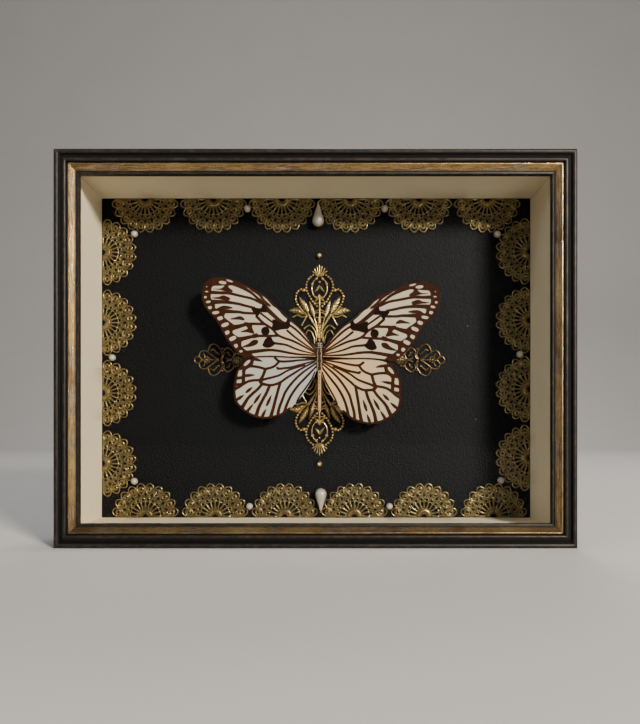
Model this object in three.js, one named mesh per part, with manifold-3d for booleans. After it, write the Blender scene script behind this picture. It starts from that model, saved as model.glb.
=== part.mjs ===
// Framed butterfly specimen: a black and gilt box frame with glass, pale lining, dark card, brass filigree,
// pearls and a spread butterfly on a pin. Millimetres, +Z up, the glass faces -Y, the frame stands on Z = 0.
import * as THREE from "three";
import { mergeVertices } from "three/addons/utils/BufferGeometryUtils.js";
import Module from "manifold-3d";

const wasm = await Module();
wasm.setup();
const { Manifold, Mesh: SolidMesh } = wasm;

// Frame
const FRAME_WIDTH = 215;
const FRAME_HEIGHT = 164;
const FRAME_DEPTH = 44;
const FACE_WIDTH = 9.8;
const REBATE_WALL = 6;
const LIP_DEPTH = 6;
const MITRE_GAP = 0.1;

// Sheets in the rebate: the distances are measured back from the front of the frame
const SHEET_GAP = 0.1;
const SHEET_WIDTH = FRAME_WIDTH - 2 * REBATE_WALL - 0.4;
const SHEET_HEIGHT = FRAME_HEIGHT - 2 * REBATE_WALL - 0.4;
const GLASS_THICKNESS = 2;
const CARD_FRONT = 37;
const CARD_THICKNESS = 2;
const PANEL_THICKNESS = 3;
const LINING_THICKNESS = 1.3;
const POINT_THICKNESS = 0.4;

// Border of half rosettes: the centres are measured from the middle of the card
const INNER_WIDTH = SHEET_WIDTH - 2 * LINING_THICKNESS;
const INNER_HEIGHT = SHEET_HEIGHT - 2 * LINING_THICKNESS;
const ROSETTE_RADIUS = 15.5;
const ROSETTE_THICKNESS = 0.6;
const ROSETTE_LOOPS = 10;
const ROSETTE_INSET = 0.6;
const ROSETTE_CUT = -0.3;
const GLUE_GAP = 0.1;
const TOP_ROW = { count: 6, pitch: 31.9, shift: 0 };
const BOTTOM_ROW = { count: 6, pitch: 32.5, shift: 1.6 };
const LEFT_COLUMN = { count: 4, pitch: 32.85, shift: 0 };
const RIGHT_COLUMN = { count: 4, pitch: 32.1, shift: 1.55 };

// Pearls and beads
const PEARL_RADIUS = 1.6;
const PEARL_SEAT = ROSETTE_RADIUS + PEARL_RADIUS;
const PEARL_INSET = 4.8;
const DROP_LENGTH = 11.4;
const DROP_RADIUS = 2.7;
const DROP_ROUND_END = 60.4;
const BEAD_RADIUS = 1.2;
const BEAD_HEIGHT = 48.5;

// Centre piece
const CENTRE_X = 1.6;
const CENTRE_Y = -0.9;
const FILIGREE_LENGTH = 45;
const FILIGREE_WIRE = 1.0;
const FILIGREE_THICKNESS = 1.0;
const SIDE_TIP = 58.8;
const SIDE_WIRE = 0.8;

// Butterfly
const BODY_AXIS = 8.6;
const WING_THICKNESS = 0.4;
const FOREWING_ROOT = 9.9;
const HINDWING_ROOT = 9.1;
const WING_RISE = 0.045;
const WING_ROOT_X = 2.3;
const RIGHT_FOREWING_TURN = -2.6;
const RIGHT_HINDWING_TURN = -6;
const PIN_RADIUS = 0.3;
const THORAX_RADIUS = 2.1;

const finish = (color, roughness, metalness = 0) =>
  new THREE.MeshStandardMaterial({ color, roughness, metalness });
const MATERIALS = {
  moulding: finish(0x14110f, 0.35),
  lining: finish(0xe6d7b8, 0.8),
  card: finish(0x17181b, 0.6),
  panel: finish(0x5b4632, 0.8),
  steel: finish(0x8d8f92, 0.35, 1),
  brass: finish(0x9a7438, 0.4, 1),
  pearl: finish(0xf2ebdf, 0.2),
  wing: finish(0xe9e2d0, 0.7),
  body: finish(0x4a3527, 0.8),
  glass: new THREE.MeshStandardMaterial({
    color: 0xeef4f2,
    roughness: 0.02,
    transparent: true,
    opacity: 0.12,
  }),
};

const object = new THREE.Group();
object.name = "framed_butterfly";

// The card plane: x to the right, y up, z out of the card towards the glass, origin in its middle
const display = new THREE.Group();
display.name = "display";
display.rotation.x = Math.PI / 2;
display.position.set(0, CARD_FRONT - FRAME_DEPTH / 2, FRAME_HEIGHT / 2);
object.add(display);

function addPiece(parent, name, geometry, material) {
  const piece = new THREE.Mesh(geometry, material);
  piece.name = name;
  parent.add(piece);
  return piece;
}

// Joins solids that overlap into one closed body
function join(geometries) {
  const solids = geometries.map((geometry) => {
    const bare = geometry.clone();
    bare.deleteAttribute("normal");
    bare.deleteAttribute("uv");
    const merged = mergeVertices(bare, 1e-4);
    return new Manifold(
      new SolidMesh({
        numProp: 3,
        vertProperties: merged.attributes.position.array,
        triVerts: new Uint32Array(merged.index.array),
      }),
    );
  });
  const mesh = Manifold.union(solids).getMesh();
  const joined = new THREE.BufferGeometry();
  joined.setAttribute("position", new THREE.BufferAttribute(new Float32Array(mesh.vertProperties), 3));
  joined.setIndex(new THREE.BufferAttribute(new Uint32Array(mesh.triVerts), 1));
  joined.computeVertexNormals();
  return joined;
}

const { area } = THREE.ShapeUtils;
const toVectors = (points) => points.map(([x, y]) => new THREE.Vector2(x, y));
const mirrored = (points) => points.map(([x, y]) => [-x, y]);

function plate(points, thickness, lift = 0) {
  const geometry = new THREE.ExtrudeGeometry(new THREE.Shape(toVectors(points)), {
    depth: thickness,
    bevelEnabled: false,
  });
  return geometry.translate(0, 0, lift);
}

// A flat band of even width along a smooth line, open or closed
function band(points, width, thickness, closed = false, steps = 4) {
  const line = new THREE.CatmullRomCurve3(
    points.map(([x, y]) => new THREE.Vector3(x, y, 0)),
    closed,
  );
  const divisions = steps * (closed ? points.length : points.length - 1);
  const left = [];
  const right = [];
  for (let i = 0; i < (closed ? divisions : divisions + 1); i += 1) {
    const at = line.getPoint(i / divisions);
    const along = line.getTangent(i / divisions);
    const side = new THREE.Vector2(-along.y, along.x).multiplyScalar(width / 2);
    left.push(new THREE.Vector2(at.x + side.x, at.y + side.y));
    right.push(new THREE.Vector2(at.x - side.x, at.y - side.y));
  }
  if (closed) {
    const [inner, outer] = [left, right].sort((a, b) => Math.abs(area(a)) - Math.abs(area(b)));
    const ring = new THREE.Shape(area(outer) < 0 ? outer.reverse() : outer);
    ring.holes.push(new THREE.Path(area(inner) < 0 ? inner.reverse() : inner));
    return new THREE.ExtrudeGeometry(ring, { depth: thickness, bevelEnabled: false });
  }
  const shape = new THREE.Shape([...left, ...right.reverse()]);
  return new THREE.ExtrudeGeometry(shape, { depth: thickness, bevelEnabled: false });
}

// A pointed leaf from its base to its tip
function leaf([baseX, baseY], [tipX, tipY], width, thickness) {
  const along = new THREE.Vector2(tipX - baseX, tipY - baseY);
  const side = new THREE.Vector2(-along.y, along.x).normalize().multiplyScalar(width / 2);
  const at = (share, reach) => [
    baseX + along.x * share + side.x * reach,
    baseY + along.y * share + side.y * reach,
  ];
  return plate([at(0, 0.3), at(0.4, 1), at(1, 0.1), at(1, -0.1), at(0.4, -1), at(0, -0.3)], thickness);
}

// Moulding: an outer bead, a rising band, a small bead, the gilt slope and a thin fillet, with the rebate behind
function mouldingProfile() {
  const profile = new THREE.Shape();
  profile.moveTo(0, FRAME_DEPTH);
  profile.lineTo(0, 2.3);
  profile.absarc(1.15, 2.3, 1.15, Math.PI, 1.75 * Math.PI, false);
  profile.lineTo(2.4, 2.3);
  profile.lineTo(4.2, 0.9);
  profile.absarc(5.0, 0.8, 0.8, Math.PI, 1.9 * Math.PI, false);
  profile.lineTo(5.95, 1.4);
  profile.lineTo(6.25, 0.9);
  profile.lineTo(6.6, 0.85);
  profile.lineTo(8.7, 2.9);
  profile.lineTo(8.9, 3.4);
  profile.lineTo(FACE_WIDTH, 3.5);
  profile.lineTo(FACE_WIDTH, LIP_DEPTH);
  profile.lineTo(REBATE_WALL, LIP_DEPTH);
  profile.lineTo(REBATE_WALL, FRAME_DEPTH);
  return profile;
}

// One rail, lying along x with its outer edge on z = 0 and its ends cut at 45 degrees
function railGeometry(length) {
  const geometry = new THREE.ExtrudeGeometry(mouldingProfile(), {
    depth: 1,
    bevelEnabled: false,
    curveSegments: 3,
  });
  const position = geometry.attributes.position;
  for (let i = 0; i < position.count; i += 1) {
    const inward = position.getX(i);
    const back = position.getY(i);
    const end = position.getZ(i) > 0.5 ? -1 : 1;
    position.setXYZ(i, end * (length / 2 - inward - MITRE_GAP / 2), back - FRAME_DEPTH / 2, inward);
  }
  geometry.computeVertexNormals();
  return geometry;
}

function addFrame() {
  const rails = [
    ["frame_bottom_rail", FRAME_WIDTH, 0, [0, 0, 0]],
    ["frame_right_rail", FRAME_HEIGHT, -Math.PI / 2, [FRAME_WIDTH / 2, 0, FRAME_HEIGHT / 2]],
    ["frame_top_rail", FRAME_WIDTH, Math.PI, [0, 0, FRAME_HEIGHT]],
    ["frame_left_rail", FRAME_HEIGHT, Math.PI / 2, [-FRAME_WIDTH / 2, 0, FRAME_HEIGHT / 2]],
  ];
  for (const [name, length, turn, place] of rails) {
    const rail = addPiece(object, name, railGeometry(length), MATERIALS.moulding);
    rail.rotation.y = turn;
    rail.position.set(...place);
  }
}

// A flat sheet or strip: its size, the distance of its front behind the frame's front and its middle
function addSlab(name, [width, thickness, height], front, [x, z], material) {
  const slab = addPiece(object, name, new THREE.BoxGeometry(width, thickness, height), material);
  slab.position.set(x, front + thickness / 2 - FRAME_DEPTH / 2, FRAME_HEIGHT / 2 + z);
}

function addSheets() {
  const glassFront = LIP_DEPTH + SHEET_GAP;
  const liningFront = glassFront + GLASS_THICKNESS + SHEET_GAP;
  const liningDepth = CARD_FRONT - SHEET_GAP - liningFront;
  const panelFront = CARD_FRONT + CARD_THICKNESS + SHEET_GAP;
  const sheet = (thickness) => [SHEET_WIDTH, thickness, SHEET_HEIGHT];
  addSlab("glass_pane", sheet(GLASS_THICKNESS), glassFront, [0, 0], MATERIALS.glass);
  addSlab("backing_card", sheet(CARD_THICKNESS), CARD_FRONT, [0, 0], MATERIALS.card);
  addSlab("back_panel", sheet(PANEL_THICKNESS), panelFront, [0, 0], MATERIALS.panel);

  const across = [SHEET_WIDTH, liningDepth, LINING_THICKNESS];
  const upright = [LINING_THICKNESS, liningDepth, INNER_HEIGHT - 2 * SHEET_GAP];
  const alongX = (SHEET_WIDTH - LINING_THICKNESS) / 2;
  const alongZ = (SHEET_HEIGHT - LINING_THICKNESS) / 2;
  addSlab("lining_top", across, liningFront, [0, alongZ], MATERIALS.lining);
  addSlab("lining_bottom", across, liningFront, [0, -alongZ], MATERIALS.lining);
  addSlab("lining_left", upright, liningFront, [-alongX, 0], MATERIALS.lining);
  addSlab("lining_right", upright, liningFront, [alongX, 0], MATERIALS.lining);

  const pointFront = panelFront + PANEL_THICKNESS + SHEET_GAP;
  const pointX = SHEET_WIDTH / 2 - 4;
  const pointZ = SHEET_HEIGHT / 2 - 4;
  const tall = [6, POINT_THICKNESS, 8];
  const wide = [8, POINT_THICKNESS, 6];
  addSlab("retaining_point_top", tall, pointFront, [0, pointZ], MATERIALS.steel);
  addSlab("retaining_point_bottom", tall, pointFront, [0, -pointZ], MATERIALS.steel);
  addSlab("retaining_point_left", wide, pointFront, [-pointX, 0], MATERIALS.steel);
  addSlab("retaining_point_right", wide, pointFront, [pointX, 0], MATERIALS.steel);
}

// Half rosette: looped edge, a half hub and a wedge-shaped slot under each loop, cut straight below
function rosetteGeometry() {
  const step = Math.PI / ROSETTE_LOOPS;
  const polar = (radius, angle) => [radius * Math.cos(angle), radius * Math.sin(angle)];
  const edge = Math.asin(ROSETTE_CUT / ROSETTE_RADIUS);
  const hubRadius = 0.095 * ROSETTE_RADIUS;
  const outline = [polar(ROSETTE_RADIUS * 0.9, edge)];
  for (let loop = 0; loop < ROSETTE_LOOPS; loop += 1) {
    const middle = (loop + 0.5) * step;
    outline.push(polar(ROSETTE_RADIUS * 0.985, middle - 0.27 * step));
    outline.push(polar(ROSETTE_RADIUS * 0.985, middle + 0.27 * step));
    if (loop < ROSETTE_LOOPS - 1) outline.push(polar(ROSETTE_RADIUS * 0.89, middle + 0.5 * step));
  }
  outline.push(polar(ROSETTE_RADIUS * 0.9, Math.PI - edge));
  outline.push([-hubRadius, ROSETTE_CUT]);
  outline.push(polar(hubRadius, 0.7 * Math.PI));
  outline.push(polar(hubRadius, 0.3 * Math.PI));
  outline.push([hubRadius, ROSETTE_CUT]);
  const shape = new THREE.Shape(toVectors(outline));
  for (let loop = 0; loop < ROSETTE_LOOPS; loop += 1) {
    const middle = (loop + 0.5) * step;
    const slot = [
      polar(ROSETTE_RADIUS * 0.22, middle),
      polar(ROSETTE_RADIUS * 0.5, middle - 0.3 * step),
      polar(ROSETTE_RADIUS * 0.5, middle + 0.3 * step),
    ];
    shape.holes.push(new THREE.Path(toVectors(slot)));
  }
  return new THREE.ExtrudeGeometry(shape, { depth: ROSETTE_THICKNESS, bevelEnabled: false });
}

const placesAlong = ({ count, pitch, shift }) =>
  Array.from({ length: count }, (_, i) => shift + (i - (count - 1) / 2) * pitch);
const ROW_LINE = INNER_HEIGHT / 2 - ROSETTE_INSET;
const COLUMN_LINE = INNER_WIDTH / 2 - ROSETTE_INSET;
const TOP_CENTRES = placesAlong(TOP_ROW).map((x) => [x, ROW_LINE]);
const BOTTOM_CENTRES = placesAlong(BOTTOM_ROW).map((x) => [x, -ROW_LINE]);
const LEFT_CENTRES = placesAlong(LEFT_COLUMN).map((y) => [-COLUMN_LINE, y]);
const RIGHT_CENTRES = placesAlong(RIGHT_COLUMN).map((y) => [COLUMN_LINE, y]);

function addBorder() {
  const geometry = rosetteGeometry();
  const sides = [
    ["top", TOP_CENTRES, Math.PI],
    ["bottom", BOTTOM_CENTRES, 0],
    ["left", LEFT_CENTRES, -Math.PI / 2],
    ["right", RIGHT_CENTRES, Math.PI / 2],
  ];
  for (const [side, centres, turn] of sides) {
    centres.forEach(([x, y], i) => {
      const rosette = addPiece(display, `rosette_${side}_${i + 1}`, geometry, MATERIALS.brass);
      rosette.rotation.z = turn;
      rosette.position.set(x, y, GLUE_GAP);
    });
  }
}

function ball(radius, around, upward) {
  const profile = [];
  for (let i = 0; i <= upward; i += 1) {
    const angle = -Math.PI / 2 + (Math.PI * i) / upward;
    const reach = i === 0 || i === upward ? 0 : radius * Math.cos(angle);
    profile.push(new THREE.Vector2(reach, radius * Math.sin(angle)));
  }
  return new THREE.LatheGeometry(profile, around);
}

// The seat beside two corner rosettes, on the side of the card's middle
function cornerSeat([ax, ay], [bx, by]) {
  const middle = new THREE.Vector2((ax + bx) / 2, (ay + by) / 2);
  const half = Math.hypot(bx - ax, by - ay) / 2;
  const inward = new THREE.Vector2(ay - by, bx - ax).normalize();
  if (inward.dot(middle) > 0) inward.negate();
  return middle.addScaledVector(inward, Math.sqrt(PEARL_SEAT ** 2 - half ** 2)).toArray();
}

const between = (centres, i, axis) => (centres[i][axis] + centres[i + 1][axis]) / 2;

function addPearls() {
  const rowLine = ROW_LINE - PEARL_INSET;
  const columnLine = COLUMN_LINE - PEARL_INSET;
  const seats = {
    top_left: [between(TOP_CENTRES, 1, 0), rowLine],
    top_right: [between(TOP_CENTRES, 3, 0), rowLine],
    bottom_left: [between(BOTTOM_CENTRES, 1, 0), -rowLine],
    bottom_right: [between(BOTTOM_CENTRES, 3, 0), -rowLine],
    left: [-columnLine, between(LEFT_CENTRES, 1, 1)],
    right: [columnLine, between(RIGHT_CENTRES, 1, 1)],
    corner_top_left: cornerSeat(TOP_CENTRES.at(0), LEFT_CENTRES.at(-1)),
    corner_top_right: cornerSeat(TOP_CENTRES.at(-1), RIGHT_CENTRES.at(-1)),
    corner_bottom_left: cornerSeat(BOTTOM_CENTRES.at(0), LEFT_CENTRES.at(0)),
    corner_bottom_right: cornerSeat(BOTTOM_CENTRES.at(-1), RIGHT_CENTRES.at(0)),
  };
  const pearl = ball(PEARL_RADIUS, 8, 4);
  for (const [name, [x, y]] of Object.entries(seats)) {
    const placed = addPiece(display, `pearl_${name}`, pearl, MATERIALS.pearl);
    placed.position.set(x, y, PEARL_RADIUS + GLUE_GAP);
  }
}

function addDropsAndBeads() {
  const outline = [
    [0, 0],
    [0.55, 0.06],
    [0.9, 0.15],
    [1, 0.26],
    [0.86, 0.42],
    [0.6, 0.62],
    [0.34, 0.84],
    [0.2, 0.97],
    [0, 1],
  ];
  const profile = outline.map(([r, share]) => new THREE.Vector2(r * DROP_RADIUS, share * DROP_LENGTH));
  const drop = new THREE.LatheGeometry(profile, 8);
  const upper = addPiece(display, "drop_pearl_top", drop, MATERIALS.pearl);
  upper.position.set(CENTRE_X - 0.6, DROP_ROUND_END, DROP_RADIUS + GLUE_GAP);
  const lower = addPiece(display, "drop_pearl_bottom", drop, MATERIALS.pearl);
  lower.position.set(CENTRE_X + 0.6, -DROP_ROUND_END, DROP_RADIUS + GLUE_GAP);
  lower.rotation.z = Math.PI;

  const bead = ball(BEAD_RADIUS, 8, 4);
  for (const [name, side] of [["bead_top", 1], ["bead_bottom", -1]]) {
    const placed = addPiece(display, name, bead, MATERIALS.brass);
    placed.position.set(CENTRE_X, CENTRE_Y + side * BEAD_HEIGHT, BEAD_RADIUS + GLUE_GAP);
  }
}

// Pointed stamping, root at y = 0 and tip at y = FILIGREE_LENGTH, the right half drawn and mirrored
function largeFiligree() {
  const wire = FILIGREE_WIRE;
  const deep = FILIGREE_THICKNESS;
  const crown = [
    [1.6, 38.6],
    [3.7, 42.3],
    [2.6, 43.6],
    [1.2, 44.7],
    [0, FILIGREE_LENGTH],
  ];
  const oval = [
    [0, 39.3],
    [4.4, 37.6],
    [6.3, 33.6],
    [5, 28.6],
    [0, 24.4],
    [-5, 28.6],
    [-6.3, 33.6],
    [-4.4, 37.6],
  ];
  const pear = [
    [0, 36.6],
    [3.1, 34.4],
    [3.3, 31.6],
    [0, 26],
    [-3.3, 31.6],
    [-3.1, 34.4],
  ];
  const scroll = [
    [6, 32.4],
    [9.4, 32.6],
    [11.3, 29.6],
    [10.4, 25.2],
    [6.5, 20.4],
    [2.4, 15.6],
    [0.4, 11],
  ];
  const solids = [
    plate([...crown, ...mirrored(crown.slice(0, -1)).reverse()], deep),
    band(oval, 1.3, deep, true, 2),
    band(pear, 0.8, deep, true, 1),
    plate([[-0.5, 24.8], [0.5, 24.8], [0.8, 3], [-0.8, 3]], deep),
    plate([[-0.4, 37], [0.4, 37], [0.4, 24.6], [-0.4, 24.6]], deep),
    plate([[-2.3, 31.4], [0, 33.8], [2.3, 31.4], [0, 30.6]], deep),
  ];
  for (const side of [1, -1]) {
    const flip = (points) => (side > 0 ? points : mirrored(points));
    solids.push(band(flip(scroll), wire, deep, false, 1));
    for (const [base, tip, width] of [
      [[6.6, 21], [9.6, 30], 3],
      [[2.2, 15.8], [4.6, 27.8], 2.2],
      [[6.2, 20], [14.8, 22.9], 3.2],
      [[0.6, 6.5], [7.4, 15.8], 3.6],
      [[2.4, 15.8], [9, 16.4], 1.8],
    ]) {
      const [flippedBase, flippedTip] = flip([base, tip]);
      solids.push(leaf(flippedBase, flippedTip, width, deep));
    }
  }
  return join(solids);
}

// Small stamping, tip at x = 0 and leaf-shaped root at x = 24.6
function sideFiligree() {
  const wire = SIDE_WIRE;
  const deep = FILIGREE_THICKNESS;
  const flipY = (points) => points.map(([x, y]) => [x, -y]);
  const loop = (points) => band(points, wire, deep, true, 1);
  const ring = Array.from({ length: 6 }, (_, i) => [
    2 - 1.6 * Math.cos((i * Math.PI) / 3),
    1.6 * Math.sin((i * Math.PI) / 3),
  ]);
  const heart = [
    [3.9, 0],
    [3.4, 2.6],
    [5, 4.2],
    [7.4, 3],
    [11.6, 0],
    [7.4, -3],
    [5, -4.2],
    [3.4, -2.6],
  ];
  const petal = [
    [11.8, 0.2],
    [8.4, 2.6],
    [7.6, 6],
    [9.6, 7.1],
    [12, 5.6],
    [13.2, 2.4],
  ];
  const inner = [
    [13.4, 0.2],
    [14, 3.9],
    [16.2, 5.3],
    [18.4, 3.6],
    [18.6, 0.8],
  ];
  const rosette = Array.from({ length: 8 }, (_, i) => [
    6.2 + 1.6 * Math.cos((i * Math.PI) / 4),
    1.6 * Math.sin((i * Math.PI) / 4),
  ]);
  const root = [[18, 0.5], [19.4, 2.8], [22.4, 2], [24.6, 0]];
  return join([
    loop(ring),
    loop(heart),
    loop(petal),
    loop(flipY(petal)),
    loop(inner),
    loop(flipY(inner)),
    plate(rosette, deep),
    plate([[7.2, -0.5], [18.6, -0.5], [18.6, 0.5], [7.2, 0.5]], deep),
    plate([...root, ...flipY(root.slice(0, -1)).reverse()], deep),
  ]);
}

function addFiligree() {
  const large = largeFiligree();
  const small = sideFiligree();
  const upper = addPiece(display, "filigree_upper", large, MATERIALS.brass);
  upper.position.set(CENTRE_X, CENTRE_Y, GLUE_GAP);
  const lower = addPiece(display, "filigree_lower", large, MATERIALS.brass);
  lower.position.set(CENTRE_X, CENTRE_Y, GLUE_GAP);
  lower.rotation.z = Math.PI;
  const left = addPiece(display, "filigree_left", small, MATERIALS.brass);
  left.position.set(CENTRE_X - SIDE_TIP, CENTRE_Y, GLUE_GAP);
  const right = addPiece(display, "filigree_right", small, MATERIALS.brass);
  right.position.set(CENTRE_X + SIDE_TIP, CENTRE_Y, GLUE_GAP);
  right.rotation.z = Math.PI;
}

// Wing outlines: x away from the body, y towards the head
const FOREWING = {
  front: [[2.3, 3.4], [9, 12.8], [18, 20.7], [27, 28.4], [36, 32.7], [43.9, 34.8], [49.5, 33.8]],
  outer: [[52.5, 28.6], [50.6, 20.7], [46.1, 15.4], [40.5, 5.7], [36, 0.5], [33.6, -1.2]],
  rear: [[24.4, -0.7], [13.1, -1], [2.3, -0.8]],
};
const HINDWING = {
  front: [[2.3, -1.8], [9, -0.5], [18, 0.9], [26.1, 1.1], [32.9, -0.9]],
  outer: [[36.9, -6.3], [38.6, -15.3], [36.9, -22.2], [31, -27], [24.3, -28.5], [18, -27.2], [13.3, -24.2]],
  rear: [[7.6, -17.8], [2.4, -9.4], [2.2, -6]],
};

function wingGeometry({ front, outer, rear }, side, turn) {
  const angle = (turn * Math.PI) / 180;
  const placed = (points) =>
    toVectors(points).map((point) => {
      point.rotateAround(new THREE.Vector2(), angle);
      return new THREE.Vector2(Math.max(point.x, WING_ROOT_X) * side, point.y);
    });
  const shape = new THREE.Shape();
  shape.moveTo(...placed(front)[0].toArray());
  shape.splineThru(placed(front.slice(1)));
  shape.splineThru(placed(outer));
  shape.splineThru(placed(rear));
  const geometry = new THREE.ExtrudeGeometry(shape, {
    depth: WING_THICKNESS,
    bevelEnabled: false,
    curveSegments: 2,
  });
  const position = geometry.attributes.position;
  for (let i = 0; i < position.count; i += 1) {
    position.setZ(i, position.getZ(i) + WING_RISE * Math.abs(position.getX(i)));
  }
  geometry.computeVertexNormals();
  return geometry;
}

function limb(points, radius) {
  const shape = new THREE.Shape();
  for (let corner = 0; corner < 4; corner += 1) {
    const angle = (corner * Math.PI) / 2;
    const at = [radius * Math.cos(angle), radius * Math.sin(angle)];
    if (corner === 0) shape.moveTo(...at);
    else shape.lineTo(...at);
  }
  const path = new THREE.CatmullRomCurve3(points.map((point) => new THREE.Vector3(...point)));
  return new THREE.ExtrudeGeometry(shape, { steps: 4, extrudePath: path, bevelEnabled: false });
}

// Body along y: abdomen, waist, thorax, neck and head, with antennae and legs
function bodyGeometry() {
  const profile = [
    [0, -25.2],
    [0.8, -24.9],
    [1.2, -23],
    [1.25, -17],
    [1.1, -9],
    [1.2, -7.4],
    [THORAX_RADIUS, -5],
    [THORAX_RADIUS, 1.6],
    [1.5, 3.2],
    [1, 3.6],
    [1.55, 4.6],
    [1.4, 5.8],
    [0.7, 6.5],
    [0, 6.7],
  ];
  const solids = [new THREE.LatheGeometry(profile.map(([r, y]) => new THREE.Vector2(r, y)), 10)];
  const antenna = [[0.4, 5.6, 0.6], [3.6, 10, 1.4], [9, 16.2, 2], [16, 22.4, 2.4]];
  const foreleg = [[0.9, 1.2, -1.2], [3.4, 2.6, -2.6], [4.6, 4.8, -5]];
  const hindleg = [[0.9, -2.6, -1.2], [3.6, -4, -2.6], [4.8, -7.4, -5]];
  for (const side of [1, -1]) {
    for (const [points, radius] of [[antenna, 0.2], [foreleg, 0.3], [hindleg, 0.3]]) {
      solids.push(limb(points.map(([x, y, z]) => [x * side, y, z]), radius));
    }
  }
  return join(solids);
}

function addButterfly() {
  const wings = [
    ["forewing_left", FOREWING, -1, 0, FOREWING_ROOT],
    ["forewing_right", FOREWING, 1, RIGHT_FOREWING_TURN, FOREWING_ROOT],
    ["hindwing_left", HINDWING, -1, 0, HINDWING_ROOT],
    ["hindwing_right", HINDWING, 1, RIGHT_HINDWING_TURN, HINDWING_ROOT],
  ];
  for (const [name, outline, side, turn, root] of wings) {
    const wing = addPiece(display, name, wingGeometry(outline, side, turn), MATERIALS.wing);
    wing.position.set(CENTRE_X, 0, root);
  }
  const body = addPiece(display, "butterfly_body", bodyGeometry(), MATERIALS.body);
  body.position.set(CENTRE_X, 0, BODY_AXIS);

  const pinLength = BODY_AXIS - THORAX_RADIUS - 3 * GLUE_GAP;
  const pin = new THREE.CylinderGeometry(PIN_RADIUS, PIN_RADIUS, pinLength, 8);
  pin.rotateX(Math.PI / 2);
  const placedPin = addPiece(display, "mounting_pin", pin, MATERIALS.steel);
  placedPin.position.set(CENTRE_X, CENTRE_Y, GLUE_GAP + pinLength / 2);
}

addFrame();
addSheets();
addBorder();
addPearls();
addDropsAndBeads();
addFiligree();
addButterfly();

export default object;
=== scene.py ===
"""Looks of the framed butterfly specimen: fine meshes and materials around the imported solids.

Pieces on the card are drawn in card millimetres: x to the right, y up and z out of the card, from its middle.
"""
import math
import random

import bmesh
import bpy
import numpy as np
from mathutils import Euler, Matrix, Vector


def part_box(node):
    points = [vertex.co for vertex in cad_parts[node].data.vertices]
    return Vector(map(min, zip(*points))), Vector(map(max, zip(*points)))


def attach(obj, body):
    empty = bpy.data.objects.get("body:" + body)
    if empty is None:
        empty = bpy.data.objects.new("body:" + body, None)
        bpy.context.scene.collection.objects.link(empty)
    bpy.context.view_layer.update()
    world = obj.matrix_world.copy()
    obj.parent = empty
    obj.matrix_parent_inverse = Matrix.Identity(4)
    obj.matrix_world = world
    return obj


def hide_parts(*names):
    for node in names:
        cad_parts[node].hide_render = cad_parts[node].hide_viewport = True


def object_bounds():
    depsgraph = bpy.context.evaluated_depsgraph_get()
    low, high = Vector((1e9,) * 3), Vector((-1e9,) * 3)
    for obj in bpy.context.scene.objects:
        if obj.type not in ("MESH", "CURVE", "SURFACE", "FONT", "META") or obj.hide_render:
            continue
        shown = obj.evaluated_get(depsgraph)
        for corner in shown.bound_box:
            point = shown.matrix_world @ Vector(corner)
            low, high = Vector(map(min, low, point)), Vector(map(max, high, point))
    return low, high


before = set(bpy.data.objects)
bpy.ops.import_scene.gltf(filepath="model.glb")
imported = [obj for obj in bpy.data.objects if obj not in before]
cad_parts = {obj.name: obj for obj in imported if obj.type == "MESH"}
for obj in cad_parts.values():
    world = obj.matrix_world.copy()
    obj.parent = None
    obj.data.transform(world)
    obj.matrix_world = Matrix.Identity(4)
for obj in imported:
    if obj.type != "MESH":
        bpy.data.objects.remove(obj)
cad_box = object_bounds()

MM = 0.001
TAU = 2 * math.pi
random.seed(11)

CARD_LOW, CARD_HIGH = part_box("backing_card")
CARD_FRONT_Y = CARD_LOW.y
CARD_MIDDLE_X = (CARD_LOW.x + CARD_HIGH.x) / 2
CARD_MIDDLE_Z = (CARD_LOW.z + CARD_HIGH.z) / 2
FRAME_WIDTH, FRAME_DEPTH, FRAME_HEIGHT = [side / MM for side in cad_box[1] - cad_box[0]]
FRONT_Y = cad_box[0].y / MM


def to_world(points):
    """Card millimetres to metres in the part's frame."""
    x, y, z = np.asarray(points, float).T
    return np.stack([CARD_MIDDLE_X + x * MM, CARD_FRONT_Y - z * MM, CARD_MIDDLE_Z + y * MM], axis=1)


def card_box(node):
    """Lowest and highest corner of a CAD node in card millimetres."""
    low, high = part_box(node)
    return (
        np.array([low.x - CARD_MIDDLE_X, low.z - CARD_MIDDLE_Z, CARD_FRONT_Y - high.y]) / MM,
        np.array([high.x - CARD_MIDDLE_X, high.z - CARD_MIDDLE_Z, CARD_FRONT_Y - low.y]) / MM,
    )


# Curves and mesh building

def spline(points, per_span=8, closed=False):
    """A smooth line through the points, with per_span samples from each point to the next."""
    knots = np.asarray(points, float)
    if closed:
        padded = np.vstack([knots[-1:], knots, knots[:2]])
    else:
        padded = np.vstack([2 * knots[:1] - knots[1:2], knots, 2 * knots[-1:] - knots[-2:-1]])
    share = np.linspace(0, 1, per_span, endpoint=False)[:, None]
    spans = []
    for a, b, c, d in zip(padded, padded[1:], padded[2:], padded[3:]):
        spans.append(0.5 * (2 * b + (c - a) * share + (2 * a - 5 * b + 4 * c - d) * share**2
                            + (3 * b - a - 3 * c + d) * share**3))
    line = np.vstack(spans)
    return line if closed else np.vstack([line, knots[-1:]])


def even_steps(line, count):
    """The same line with count points at even distances."""
    lengths = np.concatenate([[0], np.cumsum(np.linalg.norm(np.diff(line, axis=0), axis=1))])
    wanted = np.linspace(0, lengths[-1], count)
    return np.stack([np.interp(wanted, lengths, column) for column in np.asarray(line).T], axis=1)


def lifted(points, height):
    """Flat points set at one height above the card."""
    flat = np.asarray(points, float)
    return np.column_stack([flat, np.full(len(flat), height)])


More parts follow.
